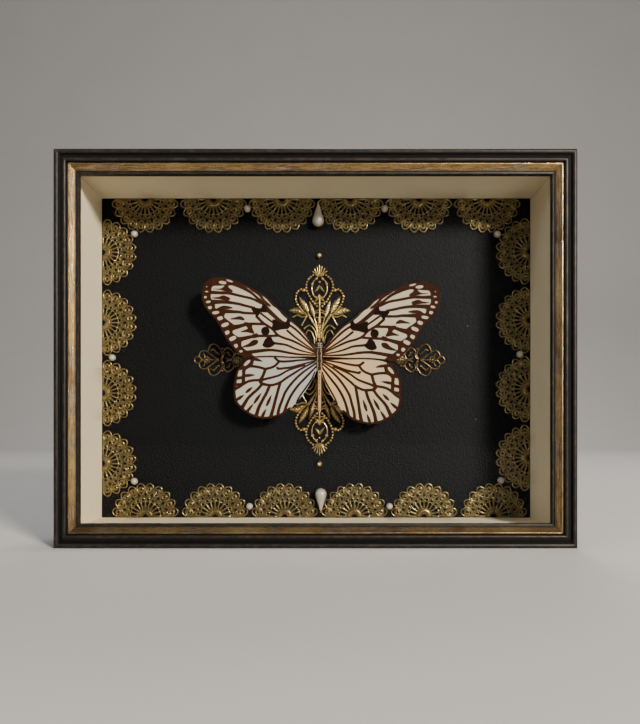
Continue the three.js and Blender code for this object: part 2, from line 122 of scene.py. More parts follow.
class MeshBuilder:
    """Closed shapes in card millimetres, with one number for each vertex, that become one object."""

    def __init__(self):
        self.points = []
        self.faces = []
        self.marks = []
        self.count = 0

    def add(self, points, faces, mark=1.0):
        points = np.asarray(points, float)
        self.points.append(points)
        self.marks.append(np.broadcast_to(np.asarray(mark, float), len(points)))
        self.faces.extend(tuple(int(i) + self.count for i in face) for face in faces)
        self.count += len(points)

    def rings(self, rings, closed=False, mark=1.0):
        """Skins a row of equal rings, and closes both ends unless the row is a loop."""
        rings = np.asarray(rings, float)
        rows, sides = rings.shape[:2]
        faces = []
        for row in range(rows if closed else rows - 1):
            here = row * sides
            there = (row + 1) % rows * sides
            for side in range(sides):
                turn = (side + 1) % sides
                faces.append((here + side, here + turn, there + turn, there + side))
        if not closed:
            faces.append(tuple(range(sides))[::-1])
            faces.append(tuple((rows - 1) * sides + side for side in range(sides)))
        self.add(rings.reshape(-1, 3), faces, mark)

    def tube(self, path, radius, sides=8, closed=False, flat=1.0):
        """A round wire along a path."""
        path = np.asarray(path, float)
        count = len(path)
        radii = np.broadcast_to(np.asarray(radius, float), count)
        if closed:
            along = np.roll(path, -1, axis=0) - np.roll(path, 1, axis=0)
        else:
            along = np.gradient(path, axis=0)
        along /= np.linalg.norm(along, axis=1)[:, None] + 1e-12
        up = np.where(np.abs(along[:, 2:]) > 0.9, [[1.0, 0.0, 0.0]], [[0.0, 0.0, 1.0]])
        side = np.cross(up, along)
        side /= np.linalg.norm(side, axis=1)[:, None]
        up = np.cross(along, side)
        angles = np.linspace(0, TAU, sides, endpoint=False)
        rings = (path[:, None] + side[:, None] * (np.cos(angles) * radii[:, None])[..., None]
                 + up[:, None] * (np.sin(angles) * radii[:, None] * flat)[..., None])
        # The wire's mark runs from 1 on top to 0 underneath: painted shade that the brass materials read.
        self.rings(rings, closed, np.tile(0.5 + 0.5 * np.sin(angles), count))

    def shade_last(self, mark):
        """Give the shape added last one mark all over."""
        self.marks[-1] = np.full(len(self.marks[-1]), mark)

    def ball(self, centre, radius, around=10, upward=6, stretch=(1, 1, 1)):
        """A round bead that stands on its pole."""
        angles = np.linspace(0, TAU, around, endpoint=False)
        levels = np.linspace(-math.pi / 2, math.pi / 2, upward + 1)[1:-1]
        shape = np.array(stretch, float) * radius
        points = [[0, 0, -1]]
        for level in levels:
            points += [[math.cos(a) * math.cos(level), math.sin(a) * math.cos(level), math.sin(level)]
                       for a in angles]
        points.append([0, 0, 1])
        faces = []
        last = len(points) - 1
        top = last - around
        for i in range(around):
            turn = (i + 1) % around
            faces.append((0, 1 + turn, 1 + i))
            faces.append((last, top + i, top + turn))
            for row in range(len(levels) - 1):
                start = 1 + row * around
                faces.append((start + i, start + turn, start + around + turn, start + around + i))
        unit = np.array(points)
        # The bead's mark runs from 1 on top to 0 underneath: painted shade that the brass materials read.
        self.add(np.array(centre, float) + unit * shape, faces, 0.5 + 0.5 * unit[:, 2])

    def blade(self, line, widths, height, rise=0.5, veins=0, base=0.1):
        """A leaf along a flat line: a midrib, slanting side veins and thin closed edges."""
        line = np.asarray(line, float)
        count = len(line)
        along = np.gradient(line, axis=0)
        along /= np.linalg.norm(along, axis=1)[:, None]
        side = np.column_stack([-along[:, 1], along[:, 0]])
        across = np.linspace(-1, 1, 11)
        share = np.linspace(0, 1, count)[:, None]
        rib = rise * np.exp(-((across[None] / 0.16) ** 2)) + 0.55 * rise * (1 - across[None] ** 2)
        groove = 0.38 * rise * np.sin(TAU * veins * (share - 0.18 * np.abs(across[None])))
        top = height + rib + groove * (1 - across[None] ** 2)
        teeth = np.asarray(widths) * (1 + 0.13 * np.sin(TAU * veins * share[:, 0]))
        flat = line[:, None] + side[:, None] * (across[None] * teeth[:, None])[..., None]
        upper = np.concatenate([flat, top[..., None]], axis=2)
        lower = np.concatenate([flat, np.full(top.shape, base)[..., None]], axis=2)[:, 1:-1][:, ::-1]
        rings = np.concatenate([upper, lower], axis=1)
        # The leaf is painted lighter along its rib and darker towards its edges and underneath: painted
        # shade, not wear.
        rib_lit_share = np.clip(0.42 + 0.55 * (top - height) / rise, 0, 1)
        shade = np.concatenate([rib_lit_share, np.zeros(lower.shape[:2])], axis=1)
        self.rings(rings[:, ::-1], False, shade[:, ::-1].ravel())

    def moved(self, turn, place):
        """The same shapes turned in the card plane and set in place."""
        copy = MeshBuilder()
        points = np.vstack(self.points)
        cos, sin = math.cos(turn), math.sin(turn)
        x = points[:, 0] * cos - points[:, 1] * sin + place[0]
        y = points[:, 0] * sin + points[:, 1] * cos + place[1]
        copy.add(np.column_stack([x, y, points[:, 2] + place[2]]), self.faces, np.concatenate(self.marks))
        return copy

    def build(self, name, materials, slot, nodes=(), sharp=None, mark_name="shade_and_patina_mark"):
        points = to_world(np.vstack(self.points))
        finish_mesh(name, points, self.faces, materials, nodes, sharp,
                    {mark_name: np.concatenate(self.marks)})


def finish_mesh(name, points, faces, materials, nodes=(), sharp=None, marks=None, face_slots=None):
    """Makes the object, hands it to the frame and hides the solids it stands for."""
    mesh = bpy.data.meshes.new(name)
    mesh.from_pydata(points.tolist(), [], faces)
    mesh.polygons.foreach_set("use_smooth", [True] * len(mesh.polygons))
    if face_slots is not None:
        mesh.polygons.foreach_set("material_index", face_slots)
    for mark, values in (marks or {}).items():
        mesh.attributes.new(mark, "FLOAT", "POINT").data.foreach_set("value", np.asarray(values, np.float32))
    mesh.validate()
    if sharp is not None:
        mesh.set_sharp_from_angle(angle=math.radians(sharp))
    for material in materials:
        mesh.materials.append(material)
    piece = bpy.data.objects.new(name, mesh)
    bpy.context.scene.collection.objects.link(piece)
    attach(piece, "root")
    if nodes:
        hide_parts(*nodes)


# Materials

class Shader:
    """A material with a Principled surface and short calls for its nodes. Noise scales are per millimetre."""

    def __init__(self, name, **values):
        self.material = bpy.data.materials.new(name)
        self.material.use_nodes = True
        self.tree = self.material.node_tree
        self.surface = self.tree.nodes["Principled BSDF"]
        for key, value in values.items():
            self.set(key.replace("_", " ").title().replace("Ior", "IOR"), value)
        coordinates = self.tree.nodes.new("ShaderNodeTexCoord")
        scale = self.tree.nodes.new("ShaderNodeVectorMath")
        scale.operation = "SCALE"
        scale.inputs["Scale"].default_value = 1 / MM
        self.tree.links.new(coordinates.outputs["Object"], scale.inputs[0])
        self.millimetres = scale.outputs[0]

    def set(self, socket, value):
        """A value or another node's output for a socket of the surface."""
        self.feed(self.surface.inputs[socket], value)

    def feed(self, target, value):
        """A value or another node's output for any socket. A colour of three numbers is made opaque."""
        if isinstance(value, bpy.types.NodeSocket):
            self.tree.links.new(value, target)
        elif isinstance(value, tuple) and len(value) == 3 and len(target.default_value) == 4:
            target.default_value = (*value, 1)
        else:
            target.default_value = value

    def stretched(self, scale, turn=(0, 0, 0)):
        mapping = self.tree.nodes.new("ShaderNodeMapping")
        mapping.inputs["Scale"].default_value = scale
        mapping.inputs["Rotation"].default_value = turn
        self.tree.links.new(self.millimetres, mapping.inputs["Vector"])
        return mapping.outputs[0]

    def noise(self, per_mm, detail=3.0, rough=0.55, where=None, distortion=0.0):
        node = self.tree.nodes.new("ShaderNodeTexNoise")
        self.tree.links.new(where or self.millimetres, node.inputs["Vector"])
        node.inputs["Scale"].default_value = per_mm
        node.inputs["Detail"].default_value = detail
        node.inputs["Roughness"].default_value = rough
        node.inputs["Distortion"].default_value = distortion
        return node.outputs["Fac"]

    def cells(self, per_mm, feature="F1", where=None):
        node = self.tree.nodes.new("ShaderNodeTexVoronoi")
        node.feature = feature
        self.tree.links.new(where or self.millimetres, node.inputs["Vector"])
        node.inputs["Scale"].default_value = per_mm
        return node.outputs["Distance"]

    def along_rail(self, squeeze):
        """A place on a rail, with the way along it squeezed so that noise becomes streaks."""
        joined = self.tree.nodes.new("ShaderNodeCombineXYZ")
        self.feed(joined.inputs[0], self.math("MULTIPLY", self.mark("run"), squeeze))
        self.feed(joined.inputs[1], self.mark("inset"))
        self.feed(joined.inputs[2], self.mark("depth"))
        return joined.outputs[0]

    def mark(self, name):
        node = self.tree.nodes.new("ShaderNodeAttribute")
        node.attribute_name = name
        return node.outputs["Fac"]

    def math(self, operation, a, b=0.5):
        node = self.tree.nodes.new("ShaderNodeMath")
        node.operation = operation
        self.feed(node.inputs[0], a)
        self.feed(node.inputs[1], b)
        return node.outputs[0]

    def between(self, value, low, high, start=0.0, end=1.0):
        node = self.tree.nodes.new("ShaderNodeMapRange")
        node.interpolation_type = "SMOOTHSTEP"
        self.feed(node.inputs["Value"], value)
        for socket, number in zip(("From Min", "From Max", "To Min", "To Max"), (low, high, start, end)):
            node.inputs[socket].default_value = number
        return node.outputs[0]

    def mix(self, share, a, b):
        node = self.tree.nodes.new("ShaderNodeMix")
        node.data_type = "RGBA"
        self.feed(node.inputs[0], share)
        self.feed(node.inputs[6], a)
        self.feed(node.inputs[7], b)
        return node.outputs[2]

    def bump(self, height, depth_mm, strength=1.0):
        node = self.tree.nodes.new("ShaderNodeBump")
        node.inputs["Strength"].default_value = strength
        node.inputs["Distance"].default_value = depth_mm * MM
        self.tree.links.new(height, node.inputs["Height"])
        self.set("Normal", node.outputs[0])


def black_paint():
    shader = Shader("black_moulding", specular_ior_level=0.3)
    rub = shader.math("MULTIPLY", shader.mark("wear"), shader.between(shader.noise(0.35, 6, 0.7), 0.42, 0.68))
    mottle = shader.mix(shader.noise(0.9, 5), (0.0035, 0.003, 0.0028), (0.009, 0.0075, 0.0065))
    shader.set("Base Color", shader.mix(rub, mottle, (0.04, 0.025, 0.015)))
    shader.set("Roughness", shader.between(shader.noise(1.4, 5), 0.2, 0.8, 0.34, 0.58))
    figure = shader.noise(1.6, 7, 0.66, shader.along_rail(0.05), 0.5)
    shader.bump(shader.math("ADD", figure, shader.math("MULTIPLY", shader.noise(2.4, 6), 0.5)), 0.05, 0.6)
    return shader.material


def gilt_leaf():
    """Rubbed gilding: bright streaks, brown where it has thinned, dark where it is gone, and pale silvery
    patches of painted glare.
    """
    shader = Shader("gilt_edge")
    streaks = shader.noise(2.2, 8, 0.72, shader.along_rail(0.07), 0.3)
    patches = shader.noise(0.045, 3, 0.6)
    thin = shader.between(shader.math("ADD", streaks, shader.math("MULTIPLY", patches, 0.6)), 0.6, 1.0)
    specks = shader.between(shader.noise(2.8, 8, 0.8), 0.515, 0.6)
    bright = shader.mix(shader.noise(2.0, 5, 0.7), (0.34, 0.205, 0.07), (0.78, 0.58, 0.29))
    # Pale silvery patches at random: painted glare on the gilding.
    tone_with_painted_glare = shader.mix(shader.between(patches, 0.5, 0.62), bright, (0.66, 0.58, 0.42))
    tone = shader.mix(thin, tone_with_painted_glare, (0.15, 0.076, 0.022))
    shader.set("Base Color", shader.mix(specks, tone, (0.035, 0.02, 0.01)))
    shader.set("Metallic", shader.between(specks, 0.0, 1.0, 1.0, 0.3))
    shader.set("Roughness", shader.between(streaks, 0.3, 0.7, 0.2, 0.48))
    shader.bump(shader.math("ADD", streaks, shader.noise(3.4, 8, 0.78)), 0.08, 0.8)
    return shader.material


def clear_glass():
    """Clear sheet: light goes straight through and a little is mirrored."""
    material = bpy.data.materials.new("clear_glass")
    material.use_nodes = True
    tree = material.node_tree
    tree.nodes.clear()
    output = tree.nodes.new("ShaderNodeOutputMaterial")
    through = tree.nodes.new("ShaderNodeBsdfTransparent")
    through.inputs["Color"].default_value = (0.985, 0.995, 0.99, 1)
    mirror = tree.nodes.new("ShaderNodeBsdfGlossy")
    mirror.inputs["Roughness"].default_value = 0.02
    fresnel = tree.nodes.new("ShaderNodeFresnel")
    fresnel.inputs["IOR"].default_value = 1.1
    both = tree.nodes.new("ShaderNodeMixShader")
    tree.links.new(fresnel.outputs[0], both.inputs[0])
    tree.links.new(through.outputs[0], both.inputs[1])
    tree.links.new(mirror.outputs[0], both.inputs[2])
    tree.links.new(both.outputs[0], output.inputs["Surface"])
    return material


def mount_board():
    shader = Shader("cream_board", specular_ior_level=0.2)
    cloudy = shader.mix(shader.noise(0.05, 4), (0.80, 0.675, 0.47), (0.86, 0.755, 0.565))
    fibres = shader.between(shader.noise(3.0, 3, 0.6, shader.stretched((1, 0.25, 1))), 0.6, 0.75)
    shader.set("Base Color", shader.mix(fibres, cloudy, (0.70, 0.6, 0.43)))
    shader.set("Roughness", shader.between(shader.noise(1.0), 0.2, 0.8, 0.75, 0.92))
    shader.bump(shader.noise(4.0, 5, 0.7), 0.03, 0.5)
    return shader.material


def leather_card():
    """Black leather-grain paper: slanting creases between fine pebbles, with a little dust."""
    shader = Shader("leather_grain_card", specular_ior_level=0.15, specular_tint=(0.9, 0.93, 1.0))
    slant = shader.stretched((1.0, 1.0, 0.62), (0, math.radians(32), 0))
    bent = shader.noise(1.3, 3, 0.5, slant, 0.8)
    pebbles = shader.cells(1.8, "SMOOTH_F1", slant)
    creases = shader.math("ADD", shader.math("MULTIPLY", pebbles, 0.75), shader.math("MULTIPLY", bent, 0.9))
    grain = shader.math("ADD", creases, shader.math("MULTIPLY", shader.noise(5.0, 4, 0.6), 0.25))
    dust = shader.between(shader.cells(0.115), 0.035, 0.02)
    lint = shader.math("MULTIPLY", dust, shader.between(shader.noise(0.05), 0.5, 0.56))
    black = shader.mix(shader.noise(0.03, 3), (0.0019, 0.0019, 0.0024), (0.0035, 0.0035, 0.0045))
    shader.set("Base Color", shader.mix(lint, black, (0.22, 0.22, 0.22)))
    shader.set("Roughness", shader.between(grain, 0.3, 1.2, 0.42, 0.66))
    shader.bump(grain, 0.22, 0.7)
    return shader.material


def hardboard():
    shader = Shader("hardboard", specular_ior_level=0.25)
    fibre = shader.noise(1.4, 8, 0.75, shader.stretched((1, 1, 0.5)))
    strands = shader.between(fibre, 0.35, 0.7)
    shader.set("Base Color", shader.mix(strands, (0.13, 0.075, 0.038), (0.27, 0.17, 0.095)))
    shader.set("Roughness", shader.between(shader.noise(0.2), 0.2, 0.8, 0.7, 0.9))
    shader.bump(shader.noise(3.5, 6, 0.7), 0.06, 0.5)
    return shader.material


def dull_steel():
    shader = Shader("dull_steel", metallic=1.0)
    brushed = shader.noise(2.0, 5, 0.7, shader.stretched((0.2, 1, 3)))
    shader.set("Base Color", shader.mix(brushed, (0.22, 0.22, 0.225), (0.5, 0.5, 0.505)))
    shader.set("Roughness", shader.between(brushed, 0.2, 0.8, 0.25, 0.5))
    shader.bump(brushed, 0.01, 0.5)
    return shader.material


def antique_brass(name, bright, dull):
    """Bright on the tops of the raised wires, almost black in the hollows and on their sides and undersides,
    with patches of tarnish. The dark is partly real blackening in the hollows and partly painted shade.
    """
    shader = Shader(name)
    tarnish = shader.between(shader.noise(0.55, 6, 0.65), 0.3, 0.72)
    # The mark paints wire and bead tops lit and their sides and undersides near black: painted shade, with
    # real blackening in the hollows.
    lit_and_clean_share = shader.between(shader.mark("shade_and_patina_mark"), 0.35, 0.95)
    shader.set("Base Color", shader.mix(lit_and_clean_share, (0.012, 0.007, 0.003), shader.mix(tarnish, bright, dull)))
    shader.set("Metallic", shader.between(lit_and_clean_share, 0.0, 1.0, 0.6, 1.0))
    shader.set("Roughness", shader.between(tarnish, 0.0, 1.0, 0.2, 0.4))
    shader.bump(shader.noise(4.5, 4, 0.6), 0.03, 0.4)
    return shader.material


def pearl_lustre():
    shader = Shader("pearl_lustre", subsurface_weight=0.05, specular_ior_level=1.0, coat_weight=1.0,
                    coat_roughness=0.25)
    shader.set("Subsurface Radius", (0.0012, 0.0009, 0.0007))
    shader.set("Subsurface Scale", 0.6)
    facing_rim_shade = shader.tree.nodes.new("ShaderNodeLayerWeight")
    facing_rim_shade.inputs["Blend"].default_value = 0.55
    body = shader.mix(shader.noise(0.35, 3), (0.47, 0.42, 0.355), (0.53, 0.48, 0.415))
    # The pearl is darker towards its rim, where the surface turns from the camera: painted shade.
    shader.set("Base Color", shader.mix(facing_rim_shade.outputs["Facing"], body, (0.17, 0.125, 0.1)))
    shader.set("Roughness", shader.between(shader.noise(1.2, 4), 0.2, 0.8, 0.34, 0.44))
    shader.bump(shader.noise(1.6, 3), 0.02, 0.2)
    return shader.material


def copper_wire():
    shader = Shader("copper_wire", metallic=1.0)
    shader.set("Base Color", shader.mix(shader.noise(2.0, 4), (0.55, 0.24, 0.11), (0.78, 0.42, 0.22)))
    shader.set("Roughness", shader.between(shader.noise(3.0, 4), 0.2, 0.8, 0.25, 0.45))
    return shader.material


def wing_scales():
    """Cream scales and brown ink, from the signed distance in millimetres that each wing vertex carries."""
    shader = Shader("wing_scales", specular_ior_level=0.08)
    ragged = shader.math("MULTIPLY", shader.math("SUBTRACT", shader.noise(2.6, 4, 0.6), 0.5), 0.26)
    ink = shader.between(shader.math("ADD", shader.mark("ink"), ragged), -0.2, 0.0)
    plain = shader.mix(shader.noise(0.11, 3), (0.50, 0.43, 0.325), (0.43, 0.395, 0.325))
    # The tint warms the wings towards their roots, their own tone, and also carries painted light: a warm
    # cast on the right hindwing and a cool blue cast on the left.
    root_tint_and_light_cast = shader.mix(shader.between(shader.mark("root_tint_and_light_cast"), 0, 1), plain, (0.66, 0.41, 0.19))
    cream = shader.mix(shader.between(shader.mark("root_tint_and_light_cast"), 0, -1), root_tint_and_light_cast, (0.33, 0.36, 0.40))
    dusty = shader.mix(shader.between(shader.noise(7.0, 3, 0.7), 0.55, 0.8), cream, (0.34, 0.285, 0.21))
    brown = shader.mix(shader.noise(0.9, 5, 0.65), (0.02, 0.0052, 0.0019), (0.046, 0.0125, 0.0045))
    deep = shader.mix(shader.mark("dark"), brown, (0.0095, 0.0024, 0.0011))
    shader.set("Base Color", shader.mix(ink, dusty, deep))
    shader.set("Roughness", shader.between(shader.noise(5.0), 0.2, 0.8, 0.6, 0.82))
    shader.bump(shader.noise(9.0, 2, 0.5), 0.03, 0.35)
    return shader.material


def insect_hide():
    shader = Shader("insect_hide", specular_ior_level=0.3, sheen_weight=0.2)
    ragged = shader.math("MULTIPLY", shader.math("SUBTRACT", shader.noise(2.2, 4), 0.5), 0.5)
    pale = shader.between(shader.math("ADD", shader.mark("pale"), ragged), 0.35, 0.65)
    cream = shader.mix(shader.noise(1.2, 4), (0.40, 0.205, 0.07), (0.62, 0.39, 0.18))
    dark = shader.mix(shader.noise(1.6, 4), (0.006, 0.0032, 0.0022), (0.022, 0.01, 0.0055))
    scales = shader.mix(pale, dark, cream)
    white = shader.between(shader.mark("pale"), 1.2, 1.6)
    shader.set("Base Color", shader.mix(white, scales, (0.62, 0.6, 0.56)))
    shader.set("Roughness", shader.between(shader.noise(3.0), 0.2, 0.8, 0.5, 0.8))
    shader.bump(shader.noise(6.0, 4, 0.7), 0.06, 0.6)
    return shader.material


BLACK = black_paint()
GILT = gilt_leaf()
GLASS = clear_glass()
BOARD = mount_board()
CARD = leather_card()
PANEL = hardboard()
STEEL = dull_steel()
BRASS = antique_brass("antique_brass", (0.78, 0.56, 0.225), (0.33, 0.215, 0.08))
BRONZE = antique_brass("aged_bronze", (0.42, 0.33, 0.155), (0.18, 0.138, 0.064))
DARK_BRONZE = antique_brass("dark_bronze", (0.27, 0.185, 0.085), (0.12, 0.08, 0.036))
# A brighter copy of the brass for the two beads: its raised colour is a painted highlight.
BEAD_BRASS_AND_HIGHLIGHT = antique_brass("bright_brass_painted_highlight", (0.95, 0.74, 0.36), (0.8, 0.58, 0.24))
PEARL = pearl_lustre()
COPPER = copper_wire()
WING = wing_scales()
HIDE = insect_hide()


def repaint(node, material):
    """Gives a CAD node that keeps its shape its finished material."""
    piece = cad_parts[node]
    piece.data.materials.clear()
    piece.data.materials.append(material)


repaint("glass_pane", GLASS)
repaint("backing_card", CARD)
repaint("back_panel", PANEL)


# Frame rails: u runs inward from the outer edge and w back from the front, in millimetres

FACE_WIDTH = 9.8
REBATE_WALL = 6.0
LIP_DEPTH = 6.0
MITRE_GAP = 0.1
GILT_FROM = 6.1
GILT_TO = 8.75
RAIL_STATIONS = 120
GRAIN_SHIFT = 90


def arc(centre, radius, start, end, count):
    angles = np.radians(np.linspace(start, end, count))
    return [(centre[0] + radius * math.cos(a), centre[1] + radius * math.sin(a)) for a in angles]


def rail_profile():
    """Outer bead, rising band, small bead, gilt slope with a rolled edge, fillet, lip and rebate."""
    front = [(0.0, 5.0)]
    front += arc((1.15, 2.3), 1.15, 180, 318, 14)
    front += [(2.2, 2.05), (2.4, 2.3), (2.75, 2.1), (3.3, 1.62), (3.85, 1.2), (4.15, 1.0)]
    front += arc((5.0, 0.8), 0.8, 185, 342, 14)
    front += [(5.85, 1.2), (5.98, 1.35), (6.1, 1.2)]
    front += arc((6.5, 1.2), 0.38, 190, 295, 6)
    front += [(7.2, 1.44), (7.7, 1.93), (8.2, 2.42), (8.65, 2.86)]
    front += [(8.78, 3.1), (8.9, 3.4), (9.3, 3.44)]
    front += arc((9.55, 3.72), 0.25, 270, 360, 4)
    back = [(FACE_WIDTH, LIP_DEPTH - 0.2), (FACE_WIDTH - 0.2, LIP_DEPTH), (REBATE_WALL, LIP_DEPTH)]
    back += [(REBATE_WALL, FRAME_DEPTH - 0.25), (REBATE_WALL - 0.25, FRAME_DEPTH), (0.25, FRAME_DEPTH)]
    return np.array(front + back + [(0.0, FRAME_DEPTH - 0.25), (0.0, 24.0)])


def wear_along(profile):
    """How much each profile point is rubbed: the crests of the two beads and the outer arris."""
    crests = np.array([1.15, 5.0, 9.4])
    near = np.exp(-((profile[:, :1] - crests) / 0.55) ** 2).max(axis=1)
    return np.where(profile[:, 1] < 3.8, near, 0.12)


def rail(name, length, turn, origin):
    profile = rail_profile()
    wear = wear_along(profile)
    stations = np.linspace(-1, 1, RAIL_STATIONS + 1)
    phase = random.uniform(0, TAU)
    rings = []
    for station in stations:
        u, w = profile.T
        x = station * (length / 2 - u - MITRE_GAP / 2)
        sway = 0.03 * np.sin(x * 0.11 + phase) + 0.02 * np.sin(x * 0.31 + 2 * phase)
        dip = np.where((w < 4.5) & (u > 0.4) & (w > 0.05), sway, 0)
        rings.append(np.column_stack([x, np.clip(w + dip, 0, FRAME_DEPTH) + FRONT_Y, u]))
    rows, sides = len(rings), len(profile)
    points = np.vstack(rings)
    cos, sin = math.cos(turn), math.sin(turn)
    x, y, z = points.T
    points = np.column_stack([x * cos + z * sin + origin[0], y, -x * sin + z * cos + origin[1]]) * MM
    middle = (profile[:, 0] + np.roll(profile[:, 0], -1)) / 2
    depth = (profile[:, 1] + np.roll(profile[:, 1], -1)) / 2
    gilded = (middle > GILT_FROM) & (middle < GILT_TO) & (depth < LIP_DEPTH - 1)
    faces, slots = [], []
    for row in range(rows - 1):
        here = row * sides
        there = here + sides
        for side in range(sides):
            after = (side + 1) % sides
            faces.append((here + side, there + side, there + after, here + after))
            slots.append(int(gilded[side]))
    faces += [tuple(range(sides)), tuple(range((rows - 1) * sides, rows * sides))[::-1]]
    slots += [0, 0]
    marks = {
        "wear": np.tile(wear, rows),
        "run": np.concatenate([ring[:, 0] for ring in rings]) + GRAIN_SHIFT * phase,
        "inset": np.tile(profile[:, 0], rows),
        "depth": np.tile(profile[:, 1], rows),
    }
    moulding = name.replace("frame_", "moulding_")
    finish_mesh(moulding, points, faces, [BLACK, GILT], [name], 28, marks, slots)


rail("frame_bottom_rail", FRAME_WIDTH, 0, (0, 0))
rail("frame_right_rail", FRAME_HEIGHT, -math.pi / 2, (FRAME_WIDTH / 2, FRAME_HEIGHT / 2))
rail("frame_top_rail", FRAME_WIDTH, math.pi, (0, FRAME_HEIGHT))
rail("frame_left_rail", FRAME_HEIGHT, math.pi / 2, (-FRAME_WIDTH / 2, FRAME_HEIGHT / 2))


# Lining strips and retaining points

BOARD_EASE = 0.12
BOARD_WAVE = 0.12
BOARD_STATIONS = 81


def board_strip(node):
    """A strip of board with eased edges whose faces are not quite flat."""
    low, high = card_box(node)
    size = high - low
    long_axis = int(np.argmax(size))
    thin_axis = int(np.argmin(size))
    deep_axis = 3 - long_axis - thin_axis
    depth = size[deep_axis]
    steps = np.array([0.0, BOARD_EASE, depth / 2, depth - BOARD_EASE, depth])
    phase = random.uniform(0, TAU)
    inner_is_low = low[thin_axis] + high[thin_axis] > 0
    rings = []
    for share in np.linspace(0, 1, BOARD_STATIONS):
        ripple = BOARD_WAVE * (np.sin(share * 9 + phase) + 0.6 * np.sin(share * 23 + 2 * phase)) / 1.6
        ring = []
        for level in steps:
            inner = ripple * (1 - level / depth) + (BOARD_EASE if level in (steps[0], steps[-1]) else 0)
            ring.append((level, max(inner, 0)))
        ring += [(depth, size[thin_axis]), (0.0, size[thin_axis])]
        rows = []
        for level, across in ring:
            point = np.zeros(3)
            point[long_axis] = low[long_axis] + share * size[long_axis]
            point[deep_axis] = low[deep_axis] + level
            point[thin_axis] = low[thin_axis] + across if inner_is_low else high[thin_axis] - across
            rows.append(point)
        rings.append(rows)
    rings = np.array(rings)
    corner, along_edge, section_edge = rings[0, 0], rings[1, 0] - rings[0, 0], rings[0, 1] - rings[0, 0]
    outward = np.cross(section_edge, along_edge)
    middle = rings.reshape(-1, 3).mean(axis=0)
    if np.dot(outward, corner - middle) < 0:
        rings = rings[:, ::-1]
    strip = MeshBuilder()
    strip.rings(rings)
    strip.build(node.replace("lining_", "board_"), [BOARD], "lining", [node], 30)


for edge_name in ("top", "bottom", "left", "right"):
    board_strip(f"lining_{edge_name}")


def retaining_point(node):
    """A flat steel blade with a rounded tip and a raised rib along its back."""
    low, high = card_box(node)
    middle = (low + high) / 2
    size = high - low
    along_y = size[1] > size[0]
    outward = np.sign(middle[1] if along_y else middle[0])
    length, width = max(size[0], size[1]), min(size[0], size[1])
    levels = np.linspace(0, 1, 17)
    rings = []
    for level in levels:
        half = width / 2 * min(1.0, 0.35 + 2.2 * math.sqrt(max(level, 0.0)))
        run = (level - 0.5) * length * outward
        sides = np.linspace(-half, half, 7)
        rib = 0.12 * np.exp(-((sides / 0.8) ** 2)) * math.sin(math.pi * level)
        front = [(run, s, high[2]) for s in sides]
        back = [(run, s, low[2] + 0.12 - r) for s, r in zip(sides[::-1], rib[::-1])]
        rings.append(front + back)
    rings = np.array(rings)
    if along_y:
        rings = rings[..., [1, 0, 2]]
    rings[..., 0] += middle[0]
    rings[..., 1] += middle[1]
    flipped = (outward > 0) != along_y
    blade = MeshBuilder()
    blade.rings(rings[:, ::-1] if flipped else rings)
    blade.build(node.replace("retaining_point", "steel_point"), [STEEL], "steel", [node], 40)


for edge_name in ("top", "bottom", "left", "right"):
    retaining_point(f"retaining_point_{edge_name}")


# Border of half rosettes

ROSETTE_RADIUS = 15.75
ROSETTE_LOOPS = 10
ROSETTE_CUT = 0.3
PLATE_LIFT = 0.1
PLATE_THICKNESS = 0.45
EYELET_PLACE = 0.5
RING_PLACE = 0.8
RING_RADIUS = 0.097
LOBE_VALLEY = 0.845


def polar(radius, angle):
    return np.array([radius * math.cos(angle), radius * math.sin(angle)])


def circle(centre, radius, count):
    """Points evenly round a circle."""
    return [centre + polar(radius, a) for a in np.linspace(0, TAU, count, endpoint=False)]


def stamped(outline, holes, thickness, ease):
    """A pierced plate with rounded edges that stands on z = 0: its points and faces."""
    curve = bpy.data.curves.new("plate", "CURVE")
    curve.dimensions = "2D"
    curve.fill_mode = "BOTH"
    curve.extrude = thickness / 2 - ease
    curve.bevel_depth = ease
    curve.bevel_resolution = 1
    curve.offset = -ease
    for loop in (outline, *holes):
        line = curve.splines.new("POLY")
        line.points.add(len(loop) - 1)
        line.points.foreach_set("co", [value for x, y in loop for value in (x, y, 0, 1)])
        line.use_cyclic_u = True
    plate = bpy.data.objects.new("plate", curve)
    bpy.context.scene.collection.objects.link(plate)
    mesh = bpy.data.meshes.new_from_object(plate.evaluated_get(bpy.context.evaluated_depsgraph_get()))
    work = bmesh.new()
    work.from_mesh(mesh)
    bmesh.ops.remove_doubles(work, verts=work.verts, dist=1e-4)
    points = np.array([vertex.co for vertex in work.verts]) + [0, 0, thickness / 2]
    faces = [[vertex.index for vertex in face.verts] for face in work.faces]
    work.free()
    bpy.data.objects.remove(plate)
    bpy.data.curves.remove(curve)
    bpy.data.meshes.remove(mesh)
    return points, faces


def lobe_reach(phase):
    """Reach of the scalloped edge as a share of the radius, with phase from -0.5 to 0.5 across a lobe."""
    return LOBE_VALLEY + (1 - LOBE_VALLEY) * max(math.cos(math.pi * phase), 0) ** 0.7


